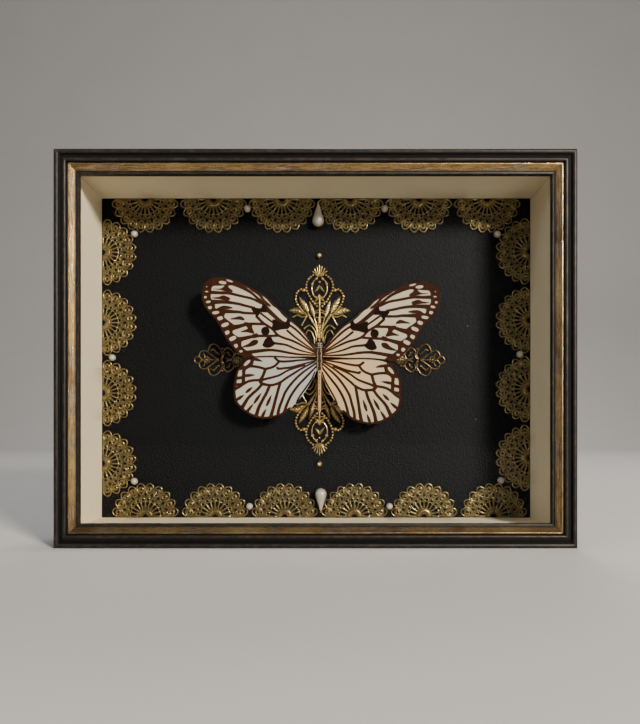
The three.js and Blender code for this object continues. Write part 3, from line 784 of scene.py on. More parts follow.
def rosette_holes(size, step):
    """Slots between the spokes, eyelets, kites, crescents inside the lobes and the middles of the rings."""
    def placed(angle, shape):
        out = np.array([math.cos(angle), math.sin(angle)])
        side = np.array([-out[1], out[0]])
        return [out * r * size + side * t for r, t in shape]

    holes = []
    phases = np.linspace(-0.31, 0.31, 9)
    for loop in range(ROSETTE_LOOPS):
        angle = (loop + 0.5) * step
        holes.append(placed(angle, [(0.26, -0.2), (0.425, -0.64), (0.45, 0), (0.425, 0.64), (0.26, 0.2)]))
        holes.append(circle(polar(EYELET_PLACE * size, angle), 0.56, 12))
        holes.append(placed(angle, [(0.645, 0), (0.7, -0.66), (0.718, 0), (0.7, 0.66)]))
        upper = [polar((lobe_reach(p) - 0.044) * size, angle + p * step) for p in phases]
        lower = []
        for p in phases[::-1]:
            aside = RING_PLACE * size * math.sin(p * step) * 1.06
            rise = math.sqrt(max((RING_RADIUS * size) ** 2 - aside**2, 0.04))
            lower.append((RING_PLACE + rise / size, aside))
        holes.append(upper + placed(angle, lower))
        holes.append(circle(polar(RING_PLACE * size, angle), 0.42, 10))
    for spoke in range(1, ROSETTE_LOOPS):
        holes.append(placed(spoke * step, [(0.575, 0), (0.64, -0.6), (0.705, 0), (0.64, 0.6)]))
    return holes


def rosette_shape():
    """A pierced half disc with relief: hub ring, spokes, eyelet rims, rings with coils, and lobe rims."""
    shape = MeshBuilder()
    step = math.pi / ROSETTE_LOOPS
    size = ROSETTE_RADIUS
    outline = [polar(lobe_reach(p) * size, (loop + 0.5 + p) * step)
               for loop in range(ROSETTE_LOOPS) for p in np.linspace(-0.5, 0.5, 10, endpoint=False)]
    outline += [(-LOBE_VALLEY * size, 0.0), (-LOBE_VALLEY * size, -ROSETTE_CUT)]
    outline += [polar(0.085 * size, a) - [0, ROSETTE_CUT] for a in np.linspace(math.pi, 0, 9)]
    outline += [(LOBE_VALLEY * size, -ROSETTE_CUT)]
    points, faces = stamped(outline, rosette_holes(size, step), PLATE_THICKNESS, 0.09)
    # The plate's mark falls from its top face to its underside: painted shade on its eased edges.
    shape.add(points + [0, 0, PLATE_LIFT], faces, 0.68 * points[:, 2] / PLATE_THICKNESS)
    top = PLATE_LIFT + PLATE_THICKNESS
    hub = [polar(0.165 * size, a) for a in np.linspace(0, math.pi, 25)]
    shape.tube(lifted(hub, top), 0.75, 8, flat=0.3)
    for spoke in range(ROSETTE_LOOPS + 1):
        line = even_steps(np.array([polar(0.22 * size, spoke * step), polar(0.47 * size, spoke * step)]), 5)
        shape.tube(lifted(line, top), np.linspace(0.2, 0.4, 5), 6, flat=0.6)
    for loop in range(ROSETTE_LOOPS):
        rosette_relief(shape, (loop + 0.5) * step, step, size, top)
    return shape


def rosette_relief(shape, angle, step, size, top):
    """The raised work of one sector, about its own middle angle."""
    eyelet = circle(polar(EYELET_PLACE * size, angle), 0.8, 12)
    shape.tube(lifted(eyelet, top), 0.2, 6, True)
    middle = polar(RING_PLACE * size, angle)
    shape.tube(lifted(circle(middle, 0.68, 14), top), 0.2, 6, True)
    coil = [middle + polar(1.02 + 0.24 * turn, angle + TAU * (turn + 0.3))
            for turn in np.linspace(0, 0.9, 16)]
    shape.tube(lifted(coil, top), 0.19, 6)
    rim = [polar((lobe_reach(p) - 0.025) * size, angle + p * step) for p in np.linspace(-0.48, 0.48, 15)]
    shape.tube(lifted(rim, top), 0.33, 7)
    for lean, inner in ((1, -0.12), (-1, -0.3)):
        swirl = [(0.855, 0.49 * lean), (0.765, 0.43 * lean), (0.695, 0.24 * lean), (0.64, inner * lean)]
        line = spline([polar(r * size, angle + a * step) for r, a in swirl], 4)
        shape.tube(lifted(line, top - 0.03), np.linspace(0.28, 0.16, len(line)), 6)


def rosette_place(node, side):
    """Middle of the hub and the turn that points the loops away from the lining."""
    low, high = card_box(node)
    middle = (low + high) / 2
    return {
        "top": (math.pi, (middle[0], high[1] - ROSETTE_CUT, 0)),
        "bottom": (0.0, (middle[0], low[1] + ROSETTE_CUT, 0)),
        "left": (-math.pi / 2, (low[0] + ROSETTE_CUT, middle[1], 0)),
        "right": (math.pi / 2, (high[0] - ROSETTE_CUT, middle[1], 0)),
    }[side]


ROSETTE = rosette_shape()
for side_name, rosette_count in (("top", 6), ("bottom", 6), ("left", 4), ("right", 4)):
    for rosette_number in range(1, rosette_count + 1):
        rosette_node = f"rosette_{side_name}_{rosette_number}"
        placed = ROSETTE.moved(*rosette_place(rosette_node, side_name))
        placed.build(f"lace_{side_name}_{rosette_number}", [BRONZE], "brass", [rosette_node])


# Pearls, drops and beads

def turned(builder, centre, profile, flip, around=36):
    """A body of revolution about an upright line, from (radius, distance) pairs. flip is 1 or -1."""
    rings = []
    for radius, distance in profile:
        ring = []
        for angle in np.linspace(0, TAU, around, endpoint=False):
            point = np.array(centre, float)
            point[0] += radius * math.cos(angle)
            point[1] += flip * distance
            point[2] += radius * math.sin(angle)
            ring.append(point)
        rings.append(ring)
    rings = np.array(rings)
    builder.rings(rings[:, ::-1] if flip > 0 else rings)


PEARL_NODES = [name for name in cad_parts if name.startswith("pearl_")]
for pearl_node in sorted(PEARL_NODES):
    pearl_low, pearl_high = card_box(pearl_node)
    pearl = MeshBuilder()
    pearl_radius = (pearl_high[1] - pearl_low[1]) / 2
    pearl.ball((pearl_low + pearl_high) / 2, pearl_radius, 36, 20)
    pearl.build(f"round_{pearl_node}", [PEARL], "pearl", [pearl_node])


def drop_pearl(node, flip):
    """A drop with its narrow end to the wall, where a fine copper pin comes out."""
    low, high = card_box(node)
    length = high[1] - low[1]
    radius = (high[2] - low[2]) / 2
    pearl_length = 0.93 * length
    outline = spline([(0.02, 0), (0.5, 0.045), (0.85, 0.13), (1, 0.25), (0.93, 0.38), (0.72, 0.54),
                      (0.47, 0.73), (0.27, 0.9), (0.16, 0.98), (0.02, 1)], 5)
    middle = (low + high) / 2
    start = [middle[0], low[1] if flip > 0 else high[1], middle[2]]
    body = MeshBuilder()
    turned(body, start, outline * [radius, pearl_length], flip)
    body.build(f"tear_{node}", [PEARL], "pearl", [node])
    pin = MeshBuilder()
    pin_profile = [(0.02, 0.9), (0.28, 0.9), (0.28, 0.985), (0.46, 0.985), (0.46, 0.995), (0.4, 1), (0.02, 1)]
    turned(pin, start, [(r, share * length) for r, share in pin_profile], flip, 16)
    pin.build(f"pin_of_{node}", [COPPER], "brass", sharp=40)


drop_pearl("drop_pearl_top", 1)
drop_pearl("drop_pearl_bottom", -1)

for bead_node in ("bead_top", "bead_bottom"):
    bead_low, bead_high = card_box(bead_node)
    bead = MeshBuilder()
    bead_middle = (bead_low + bead_high) / 2
    bead_radius = (bead_high[1] - bead_low[1]) / 2
    bead.ball(bead_middle, bead_radius, 28, 16)
    bead.shade_last(1.0)
    collar = [bead_middle + [0.45 * math.cos(a), 0.45 * math.sin(a), 0.9 * bead_radius]
              for a in np.linspace(0, TAU, 20, endpoint=False)]
    bead.tube(collar, 0.16, 8, True)
    bead.build(f"brass_{bead_node}", [BEAD_BRASS_AND_HIGHLIGHT], "brass", [bead_node])


# Large filigree: x from its middle line and d down from its tip

FILIGREE_LENGTH = 45.0
LEAF_SAMPLES = 26
PETAL_SAMPLES = 14
BEAD_PITCH = 1.42


def leaf_widths(width, belly=0.4):
    """Half widths along a leaf that is widest at the belly."""
    share = np.linspace(0, 1, LEAF_SAMPLES)
    rising = np.sin(share / belly * math.pi / 2)
    falling = np.cos((share - belly) / (1 - belly) * math.pi / 2)
    shape = np.where(share < belly, rising, falling)
    return np.maximum(width / 2 * shape**0.8, 0.06)


def large_filigree():
    """One pointed stamping, with its tip up at y = 0 and its root below."""
    shape = MeshBuilder()

    def flat(points, per_span=7):
        return spline([(x, -d) for x, d in points], per_span)

    def wire(points, radius, height=0.5):
        shape.tube(lifted(flat(points), height), radius, flat=0.9)

    def beaded(points):
        """A wire set with a row of small bright beads and painted near black, as shade in the gaps between
        them.
        """
        line = flat(points, 12)
        length = np.linalg.norm(np.diff(line, axis=0), axis=1).sum()
        shape.tube(lifted(line, 0.4), 0.3, flat=0.9)
        # The base wire's low mark paints it near black: painted shade between the beads.
        shape.shade_last(0.4)
        for x, y in even_steps(line, round(length / BEAD_PITCH) + 1):
            shape.ball((x, y, 0.65), 0.58, 12, 8)

    def leaf(points, width, height=0.3, rise=0.45, veins=6):
        line = even_steps(flat(points, 6), LEAF_SAMPLES)
        shape.blade(line, leaf_widths(width), height, rise, veins)

    # crown of ribbed petals over a collar
    for spread, reach in ((0, 0.0), (1.2, 0.8), (-1.2, 0.8), (2.5, 1.8), (-2.5, 1.8), (3.6, 3.2),
                          (-3.6, 3.2)):
        line = flat([(0.32 * spread, 5.3), (0.75 * spread, 2.9 + 0.4 * reach), (spread, reach + 0.35)])
        petal = np.interp(np.linspace(0, 1, PETAL_SAMPLES), [0, 0.5, 0.85, 1], [0.17, 0.25, 0.34, 0.18])
        shape.tube(lifted(even_steps(line, PETAL_SAMPLES), 0.5), petal, 8, flat=0.85)
    wire([(-1.9, 5.3), (0, 5.75), (1.9, 5.3)], 0.42, 0.6)

    # beaded oval
    oval = [(3.0, 5.5), (5.2, 7.4), (6.2, 10.1), (5.9, 12.7), (4.7, 15.4), (2.9, 18.2), (0.0, 20.6)]
    left_oval = [(-x, d) for x, d in reversed(oval[:-1])]
    beaded(oval + left_oval)

    # inside the oval: fleurs, beads and the pear wire
    wire([(0, 14.6), (0, 20.4)], 0.36, 0.5)
    shape.ball((0, -8.7, 0.55), 0.55, 12, 8)
    for side in (1, -1):
        def to_side(points, side=side):
            return [(side * x, d) for x, d in points]

        wire(to_side([(0.9, 6.2), (1.5, 7.3), (2.7, 8.3), (3.2, 9.8)]), 0.26)
        wire(to_side([(3.3, 9.8), (3.6, 11.7), (3.1, 14.1), (1.7, 16.2)]), 0.28)
        for x, d, radius in ((1.45, 7.3, 0.68), (3.3, 9.7, 0.78), (1.6, 15.9, 0.5)):
            shape.ball((side * x, -d, 0.6), radius, 12, 8)
        leaf(to_side([(0.1, 10.0), (0.8, 11.6), (2.4, 13.5)]), 1.3, 0.35, 0.4, 0)
        leaf(to_side([(0.2, 14.6), (0.9, 16.4), (2.7, 18.2)]), 1.4, 0.35, 0.4, 0)
        wire(to_side([(0, 18.2), (1.2, 18.6), (2.4, 18.2)]), 0.26)

        # beaded side scroll and the ball where it leaves the oval
        shape.ball((side * 7.3, -12.6, 0.7), 0.95, 14, 9)
        beaded(to_side([(6.0, 12.8), (8.7, 12.2), (10.5, 13.7), (11.1, 16.2), (10.5, 18.7), (9.4, 20.4)]))

        # leaves and stems below
        leaf(to_side([(5.2, 23.6), (7.0, 19.8), (9.7, 15.4)]), 3.0)
        leaf(to_side([(2.4, 25.6), (3.6, 21.6), (4.9, 17.2)]), 2.1, veins=7)
        leaf(to_side([(7.0, 24.1), (10.2, 22.0), (14.6, 22.2)]), 3.4)
        wire(to_side([(7.0, 30.3), (4.7, 28.9), (2.6, 30.7), (1.6, 33.5), (1.7, 36.8)]), 0.32)
        wire(to_side([(6.6, 33.4), (5.2, 31.2), (3.6, 32.2), (2.6, 34.6), (2.3, 37.6)]), 0.28)
        for x, d in ((7.0, 30.4), (6.6, 33.5)):
            shape.ball((side * x, -d, 0.55), 0.5, 10, 6)
        leaf(to_side([(0.9, 41.0), (3.6, 38.6), (5.4, 35.0)]), 2.2, veins=8)
        wire(to_side([(9.4, 20.4), (7.4, 22.8), (5.0, 24.9), (2.9, 27.8), (1.2, 31.0), (0.7, 35.0)]), 0.42)
        wire(to_side([(5.2, 23.6), (3.6, 26.2), (1.9, 29.6)]), 0.32)
        wire(to_side([(2.5, 25.4), (1.5, 28.6), (0.9, 32.0)]), 0.32)
        wire(to_side([(12.6, 25.2), (10.4, 24.2), (8.2, 25.0), (6.0, 24.6)]), 0.4)
        wire(to_side([(6.0, 24.8), (7.0, 26.6), (8.1, 28.6)]), 0.34)
        shape.ball((side * 8.2, -28.7, 0.5), 0.55, 10, 6)
        wire(to_side([(0.1, 21.4), (1.6, 22.2), (3.3, 22.4)]), 0.28)
        wire(to_side([(0.1, 23.2), (1.4, 23.0), (3.0, 24.2)]), 0.28)
        wire(to_side([(0.2, 25.6), (1.2, 25.0), (2.4, 25.8)]), 0.28)

    # beaded stem
    wire([(0, 20.6), (0, 24.0), (0, 28.2)], 0.46, 0.55)
    wire([(0, 28.0), (0, 42.0)], 0.4, 0.4)
    for bead_d in np.arange(25.4, 41.5, 1.15):
        for side in (1, -1):
            shape.ball((0.52 * side, -bead_d, 0.62), 0.47, 10, 7)
    return shape


LARGE = large_filigree()
for filigree_node, filigree_turn in (("filigree_upper", 0.0), ("filigree_lower", math.pi)):
    filigree_low, filigree_high = card_box(filigree_node)
    filigree_tip = filigree_high[1] if filigree_turn == 0 else filigree_low[1]
    filigree_x = (filigree_low[0] + filigree_high[0]) / 2
    stamping = LARGE.moved(filigree_turn, (filigree_x, filigree_tip, 0))
    stamping.build(filigree_node.replace("filigree", "stamping"), [BRASS], "brass", [filigree_node])


# Small side filigree: a inward from its tip and b across

def side_filigree():
    shape = MeshBuilder()

    def wire(points, radius=0.29, height=0.5, closed=False):
        shape.tube(lifted(spline(points, 7, closed), height), radius, 8, closed, 0.9)

    wire([(2.06 - 1.6 * math.cos(a), 1.6 * math.sin(a)) for a in np.linspace(0, TAU, 8, endpoint=False)],
         closed=True)
    for granule in np.linspace(0, TAU, 9, endpoint=False):
        shape.ball((6.2 + 1.35 * math.cos(granule), 1.35 * math.sin(granule), 0.55), 0.46, 10, 6)
    shape.ball((6.2, 0, 0.55), 0.95, 12, 8)
    shape.ball((8.5, 0, 0.5), 0.5, 10, 6)
    wire([(7.4, 0), (11.6, 0)], 0.26, 0.3)
    root = spline([(18.4, 0), (20.6, 0), (24.4, 0)], 6)
    shape.blade(even_steps(root, LEAF_SAMPLES), leaf_widths(5.4), 0.3, 0.4, 5)
    for side in (1, -1):
        def to_side(points, side=side):
            return [(a, side * b) for a, b in points]

        wire(to_side([(4.2, 0.05), (3.1, 1.1), (2.7, 2.3), (3.5, 3.8), (5.1, 4.25), (6.7, 3.6), (8.6, 2.1),
                      (10.5, 0.8), (11.8, 0.15)]))
        wire(to_side([(6.7, 3.7), (7.1, 5.1), (7.8, 6.6), (9.3, 7.35), (11.0, 6.7), (12.4, 5.3), (13.3, 3.2),
                      (13.35, 1.5), (12.7, 0.3)]))
        wire(to_side([(13.2, 0.3), (14.3, 2.4), (14.1, 4.2), (15.8, 5.6), (17.3, 4.95), (18.6, 3.7),
                      (19.0, 2.3),
                      (18.3, 0.8), (17.0, 0.2), (15.2, 0.9)]))
        wire(to_side([(4.3, 2.9), (5.0, 2.5), (5.4, 1.4)]), 0.28)
        wire(to_side([(8.0, 4.1), (9.3, 4.9), (10.6, 3.6), (11.8, 2.6)]), 0.28)
        wire(to_side([(15.2, 3.6), (16.4, 3.2), (17.0, 1.8)]), 0.28)
        granules = ((9.5, 4.8, 0.58), (10.7, 3.7, 0.48), (11.7, 2.8, 0.6), (13.5, 5.2, 0.5), (7.0, 4.2, 0.42),
                    (13.1, 0.0, 0.5), (16.4, 3.2, 0.55), (17.1, 1.9, 0.46), (19.7, 3.2, 0.46))
        for a, b, radius in granules:
            shape.ball((a, side * b, 0.55), radius, 10, 6)
        wire(to_side([(19.2, 2.4), (20.2, 3.0), (21.4, 2.6)]), 0.32)
    return shape


SMALL = side_filigree()
for filigree_node, filigree_turn in (("filigree_left", 0.0), ("filigree_right", math.pi)):
    filigree_low, filigree_high = card_box(filigree_node)
    filigree_tip = filigree_low[0] if filigree_turn == 0 else filigree_high[0]
    filigree_y = (filigree_low[1] + filigree_high[1]) / 2
    stamping = SMALL.moved(filigree_turn, (filigree_tip, filigree_y, 0))
    stamping.build(filigree_node.replace("filigree", "stamping"), [DARK_BRONZE], "brass", [filigree_node])


# Butterfly: x away from the body and y towards the head, from the middle of the thorax

BODY_LOW, BODY_HIGH = card_box("butterfly_body")
BODY_X = (BODY_LOW[0] + BODY_HIGH[0]) / 2
ABDOMEN_END = -25.2
BODY_Y = BODY_LOW[1] - ABDOMEN_END
BODY_AXIS = 8.6
FOREWING_ROOT = 10.3
HINDWING_ROOT = 9.5
WING_RISE = 0.045
WING_SHEET = 0.14
VEIN_SPREAD = 0.1
ROOT_TAPER = 13.0
RIGHT_FOREWING_TURN = -2.6
RIGHT_HINDWING_TURN = -6.0

FOREWING = {
    "front": [(1.5, 2.9), (5.6, 8.7), (9, 12.8), (13.5, 16.6), (18, 20.7), (22.5, 25), (27, 28.4),
              (31.5, 30.6),
              (36, 32.7), (40.5, 34.4), (43.9, 34.8), (47.25, 34.6), (49.5, 33.8)],
    "outer": [(49.5, 33.8), (51.4, 32), (52.3, 29.7), (52.5, 27.5), (52.3, 24.4), (50.6, 20.7), (48.2, 17.7),
              (46.1, 15.4), (43.9, 11.3), (42.4, 8.3), (40.5, 5.7), (38.25, 2.7), (36, 0.45), (33.6, -1.2)],
    "rear": [(1.5, -0.9), (7.5, -0.9), (13.1, -1), (19.5, -0.7), (24.4, -0.7), (30, -1), (33.6, -1.2)],
    "grid": (190, 110),
    "camber": 0.8,
    "tint": {-1: 0.75, 1: 0.9},
    "tint_reach": 18,
    "veins": [
        ([(1.6, 2.8), (6.75, 9.9), (10.35, 13.7), (13.5, 16), (16.65, 18.9), (18.5, 21.6)], 0.6, 0.7),
        ([(1.6, 2.2), (9, 10.1), (13.05, 13.3), (17.1, 15.3), (22.5, 20.25), (24.3, 22.5)], 0.7, 0.9),
        ([(1.6, 1.6), (10.35, 7.65), (14.4, 11)], 0.55, 0.7),
        ([(18.2, 15.2), (21.2, 17.8), (24.6, 20.8)], 0.55, 0.6),
        ([(19.4, 13.6), (22.4, 15.7), (26.2, 18.6)], 0.55, 0.6),
        ([(18.6, 21.2), (20.6, 22.4), (22.6, 24.6)], 0.55, 0.6),
        ([(22.3, 22.2), (24.75, 24.4), (27, 27.1), (30, 29.3), (31.5, 30.5)], 0.75, 0.9),
        ([(25.1, 23.3), (27.8, 25.6), (30.4, 27.8), (32.3, 29.1), (34.9, 31.05), (37.4, 32.4)], 0.8, 1.2),
        ([(29.6, 27.3), (33, 29.2), (37, 31), (41, 32.2), (45, 32.9)], 0.7, 1.0),
        ([(26.2, 23.3), (30, 25.2), (33.75, 26.1), (36, 26.6), (40.5, 27.6), (45, 27.8), (48.5, 28)], 0.8,
         1.3),
        ([(29.25, 21.1), (33.75, 22.2), (36, 22.8), (40.5, 23.5), (45, 23.7), (48, 23.6)], 0.85, 1.9),
        ([(29.4, 18.6), (33.75, 18.8), (36, 19.2), (40.5, 19.4), (45, 19.8)], 0.85, 2.2),
        ([(1.6, 1.1), (11.25, 6.1), (15.75, 7.65), (18.8, 9.1), (21.4, 11.9), (25.1, 14.3), (28.1, 17.2)],
         0.7, 0.95),
        ([(24.4, 13.8), (30, 13.95), (33, 13.6), (36, 12.8), (39, 12.2)], 0.85, 2.2),
        ([(18.4, 8.7), (22.5, 8.55), (27.8, 8.55), (30, 8.3), (33, 7.6), (36.4, 6.8)], 0.75, 2.0),
        ([(1.6, 0.6), (7.5, 1.9), (11.25, 3.1), (15, 4.6), (19.9, 5.3)], 0.5, 0.8),
        ([(1.6, 0.1), (9, 0.45), (13.1, 1), (18, 1.9), (22.5, 2.3), (27, 1.9), (32.6, 1.1)], 0.65, 1.6),
    ],
    "margin": [("front", 0.6), ("rear", 0.42), ("outer", 0.8)],
    "dark": [
        [(20.9, 15.9), (19.6, 15.7), (18, 15), (16.2, 14.5), (14.9, 15.3), (13.9, 17.2), (13.4, 15.5),
         (13.3, 13.2),
         (14.2, 11.9), (16.8, 11.6), (19.8, 10.9), (21.3, 11.7), (21, 13.6)],
        [(30.4, 20.5), (29.25, 21.1), (26.2, 21.1), (25.5, 23.2), (24.4, 22.4), (23.5, 20.7), (23.6, 19.2),
         (26.3, 19.2), (27, 18.1), (28.1, 17.1), (28.9, 18.45), (29.8, 19.6)],
        [(22.9, 8.1), (21.6, 7.8), (20.8, 6.4), (19.7, 5.3), (21, 4.1), (22.5, 3.4), (24.4, 3.5), (25.5, 4.4),
         (25, 5.6), (24.3, 7)],
    ],
    "round": [(24.2, 10.75, 1.85)],
    "brown": [
        [(36.5, 33.8), (38.6, 31.4), (42, 31.2), (45, 31), (47.8, 30.7), (48.5, 28), (48.5, 25.2),
         (46.8, 22.5),
         (46.4, 20.7), (42.4, 18.9), (42.6, 16.9), (40.6, 15.2), (38.2, 13.3), (38.4, 11.6), (38.9, 9.9),
         (36.6, 8.2),
         (34.9, 6.6), (35, 4.2), (33, 2.2), (30.4, 0.4), (29.5, -1.3), (36, -4), (48, 6), (58, 20), (56, 38),
         (46, 39)],
        [(47.9, 29.6), (44.1, 29.7), (41.6, 31.4), (40.4, 30), (38.7, 28.5), (41, 28.3), (44.1, 29.1)],
        [(48.1, 25.5), (45, 25.9), (43, 26.6), (40.5, 25.7), (40, 25.1), (41, 24.3), (43.2, 24.7),
         (45.4, 25.1)],
        [(45.2, 21), (43.2, 21.9), (41, 21.8), (38.7, 21), (41, 20.6), (43.2, 20.7)],
        [(40, 16), (37.8, 16.7), (35.5, 17.3), (34, 16.5), (33.6, 15.5), (36, 15.8)],
        [(33.6, 14.6), (30.1, 14), (30.2, 12.4), (29.3, 9.7), (32.4, 10.2), (35.3, 10.4), (32.1, 11.7),
         (32.7, 12.8)],
        [(30.2, 8.9), (27.9, 9.7), (27.8, 7.9), (30.6, 7.6)],
        [(34.6, 3.6), (31.7, 5.1), (29.7, 6.7), (27.6, 6.5), (28.1, 4.9), (31, 3.8)],
    ],
    "pale": [(50.4, 30.5, 0.9, 0.7, 5), (50.4, 28.3, 1.9, 0.8, 0), (51, 25.8, 1.4, 1.2, -5),
             (49.7, 23.7, 2.5, 1.2, -10), (49.05, 21.1, 2.3, 1.5, -15), (46.4, 18.9, 3.6, 1.5, -8),
             (44.4, 16.4, 2.8, 1.8, -18), (42.2, 13.5, 3.8, 1.8, -20), (41.4, 10, 2.7, 1.8, -28),
             (38.9, 7.4, 3.8, 1.9, -25), (37.5, 4.05, 2.2, 1.8, -38), (35.2, 1.7, 1.8, 1.1, -10),
             (43.3, 32.4, 3.8, 1.5, 8), (40.3, 33.3, 3.8, 1.1, 20)],
}

HINDWING = {
    "front": [(1.5, -1.6), (9, -0.45), (18, 0.9), (26.1, 1.1), (31.5, 0), (32.9, -0.9)],
    "outer": [(32.9, -0.9), (35.4, -4.6), (36.9, -6.3), (37.6, -8.6), (38.1, -12.1), (38.6, -15.3),
              (38.4, -18.1),
              (38, -20.4), (36.9, -22.2), (34.65, -24.5), (32.4, -26.1), (29.8, -27.4), (26.6, -28.35),
              (24.3, -28.5), (21.4, -28.1), (18, -27.2), (15.6, -25.9), (13.3, -24.2)],
    "rear": [(1.3, -6.6), (2.4, -9.45), (4.7, -13.5), (7.6, -17.8), (10.4, -21), (13.3, -24.2)],
    "grid": (120, 140),
    "camber": 0.5,
    # Opposite tints for the two hindwings: painted light, warm on the right and cool blue on the left.
    "tint": {-1: -1.1, 1: 1.3},
    "tint_reach": 26,
    "veins": [
        ([(1.5, -1.7), (9, -2.1), (13.6, -2.6), (18, -2.6), (20, -1.1)], 0.65, 0.8),
        ([(18, -2.6), (20.5, -5), (24.3, -6.2)], 0.75, 0.9),
        ([(24.3, -6.2), (26.9, -5.4), (30.6, -4.9), (35.8, -5.4)], 0.85, 1.4),
        ([(24.3, -6.2), (25.4, -9.2), (26.6, -11.5), (25.7, -12.9)], 1.0, 1.3),
        ([(26.6, -11.1), (31.2, -11.5), (34.1, -12.9), (35.8, -14.1), (38.2, -15.3)], 0.85, 1.0),
        ([(1.8, -2.25), (8.1, -4), (12.7, -5.3), (18, -6), (18.9, -5.6)], 0.6, 0.8),
        ([(6.75, -4.3), (11, -5.6), (14.5, -6.9), (18, -8.9), (20.8, -9.8), (24, -10.6), (26.2, -11.25)],
         0.55, 0.9),
        ([(2.1, -2.8), (6.7, -5.1), (11, -7.7), (15.1, -10.35), (17.6, -12.1), (21.4, -13.4), (25.7, -12.9)],
         0.65, 1.0),
        ([(25.7, -12.9), (27.8, -15.3), (30.1, -17.3), (32.1, -19.3), (33.2, -21), (34.65, -23.4)], 0.9, 1.5),
        ([(22.4, -13.6), (23.7, -16.7), (25.4, -19.8), (27.2, -23.3), (28.35, -26.8)], 1.0, 1.4),
        ([(17.6, -12.2), (18.5, -15.3), (19.7, -19.6), (20.8, -23.9), (22, -27.8)], 0.95, 1.4),
        ([(1.5, -3.4), (7.6, -7.7), (11.6, -11.5), (15.1, -16.1), (16.8, -20.2), (18.2, -23.9), (18.8, -27)],
         0.7, 1.1),
        ([(1.5, -4.9), (6.1, -9.8), (9.6, -13.5), (12.5, -17.55), (14.5, -21.6), (15.9, -25.6)], 0.7, 1.0),
        ([(2.1, -7.4), (3.5, -10.6), (5.85, -14.1), (8.7, -18.1), (10.2, -20.7)], 0.45, 0.4),
        ([(30.0, -1.6), (31.0, -4.3), (33.7, -6.2), (34.1, -9.5), (34.2, -12.6)], 1.3, 1.3),
        ([(34.0, -9.9), (36, -10.2), (38.2, -10.3)], 1.1, 1.3),
        ([(34.2, -12.8), (36, -13.1), (38.4, -13.1)], 0.9, 1.2),
    ],
    "margin": [("outer", 0.85), ("front", 0.4)],
    "dark": [],
    "round": [],
    "wedges": [((30.2, -1.35), (25.2, -2.8), 0.62), ((34.2, -9.2), (28.4, -8.8), 0.62),
               ((32.9, -16.65), (29.8, -14.1), 0.62), ((37.4, -20.2), (33.5, -17.6), 0.66),
               ((29.2, -21.3), (25.9, -16.6), 0.62), ((33.2, -26.2), (29.4, -21.4), 0.62),
               ((23.7, -22.5), (21.4, -17.5), 0.6), ((26.1, -28.2), (23.8, -23.7), 0.6)],
    "brown": [[(31.2, 0.6), (30.2, -2.4), (31.2, -4.4), (33.6, -5.8), (36, -6.6), (38, -4), (34, 1)]],
    "pale": [(32.6, -3.4, 4.2, 1.5, -42), (35.8, -8.3, 2.3, 2.2, 0)],
}


def line_distance(points, line):
    """Distance of each point to a line, and the place along it from 0 to 1."""
    best = np.full(len(points), 1e9)
    place = np.zeros(len(points))
    lengths = np.concatenate([[0], np.cumsum(np.linalg.norm(np.diff(line, axis=0), axis=1))])
    for i, (a, b) in enumerate(zip(line, line[1:])):
        span = b - a
        share = np.clip(((points - a) @ span) / (span @ span + 1e-12), 0, 1)
        away = np.linalg.norm(points - a - share[:, None] * span, axis=1)
        nearer = away < best
        best = np.where(nearer, away, best)
        place = np.where(nearer, (lengths[i] + share * np.linalg.norm(span)) / lengths[-1], place)
    return best, place


def polygon_depth(points, corners):
    """Distance inside a smooth closed outline, negative outside it."""
    loop = spline(corners, 4, True)
    away, _ = line_distance(points, np.vstack([loop, loop[:1]]))
    inside = np.zeros(len(points), bool)
    x, y = points.T
    for (ax, ay), (bx, by) in zip(loop, np.roll(loop, -1, axis=0)):
        crosses = (ay > y) != (by > y)
        inside ^= crosses & (x < (bx - ax) * (y - ay) / (by - ay + 1e-12) + ax)
    return np.where(inside, away, -away)


def ellipse_depth(points, x, y, length, width, degrees):
    """About the distance inside a rounded spot, negative outside it."""
    turn = math.radians(degrees)
    dx, dy = points[:, 0] - x, points[:, 1] - y
    along = (dx * math.cos(turn) + dy * math.sin(turn)) / (length / 2)
    across = (-dx * math.sin(turn) + dy * math.cos(turn)) / (width / 2)
    return (1 - (np.abs(along) ** 2.6 + np.abs(across) ** 2.6) ** (1 / 2.6)) * width / 2


def wing_marks(points, wing):
    """Ink depth in millimetres, the darkest marks, and the height of the vein ridges."""
    ink = np.full(len(points), -9.0)
    ridge = np.zeros(len(points))
    taper = 0.5 + 0.5 * np.clip(np.hypot(*points.T) / ROOT_TAPER, 0, 1)
    for knots, start, end in wing["veins"]:
        away, place = line_distance(points, spline(knots, 6))
        width = start + (end - start) * place**3
        ink = np.maximum(ink, (width / 2 + VEIN_SPREAD) * taper - away)
        ridge = np.maximum(ridge, np.exp(-((away / 0.42) ** 2)))
    for corners in wing["brown"]:
        ink = np.maximum(ink, polygon_depth(points, corners))
    for x, y, length, width, degrees in wing["pale"]:
        ink = np.minimum(ink, -ellipse_depth(points, x, y, length, width, degrees))
    for edge, width in wing["margin"]:
        away, _ = line_distance(points, spline(wing[edge], 6))
        ink = np.maximum(ink, width - away)
    dark = np.full(len(points), -9.0)
    for corners in wing["dark"]:
        dark = np.maximum(dark, polygon_depth(points, corners))
    for x, y, radius in wing["round"]:
        dark = np.maximum(dark, radius - np.hypot(points[:, 0] - x, points[:, 1] - y))
    for base, tip, half in wing.get("wedges", []):
        away, place = line_distance(points, even_steps(np.array([base, tip], float), 9))
        ink = np.maximum(ink, half * (1 - 0.75 * np.abs(2 * place - 0.7) ** 1.6) - away)
    return np.maximum(ink, dark), np.clip(dark * 3 + 0.5, 0, 1), ridge


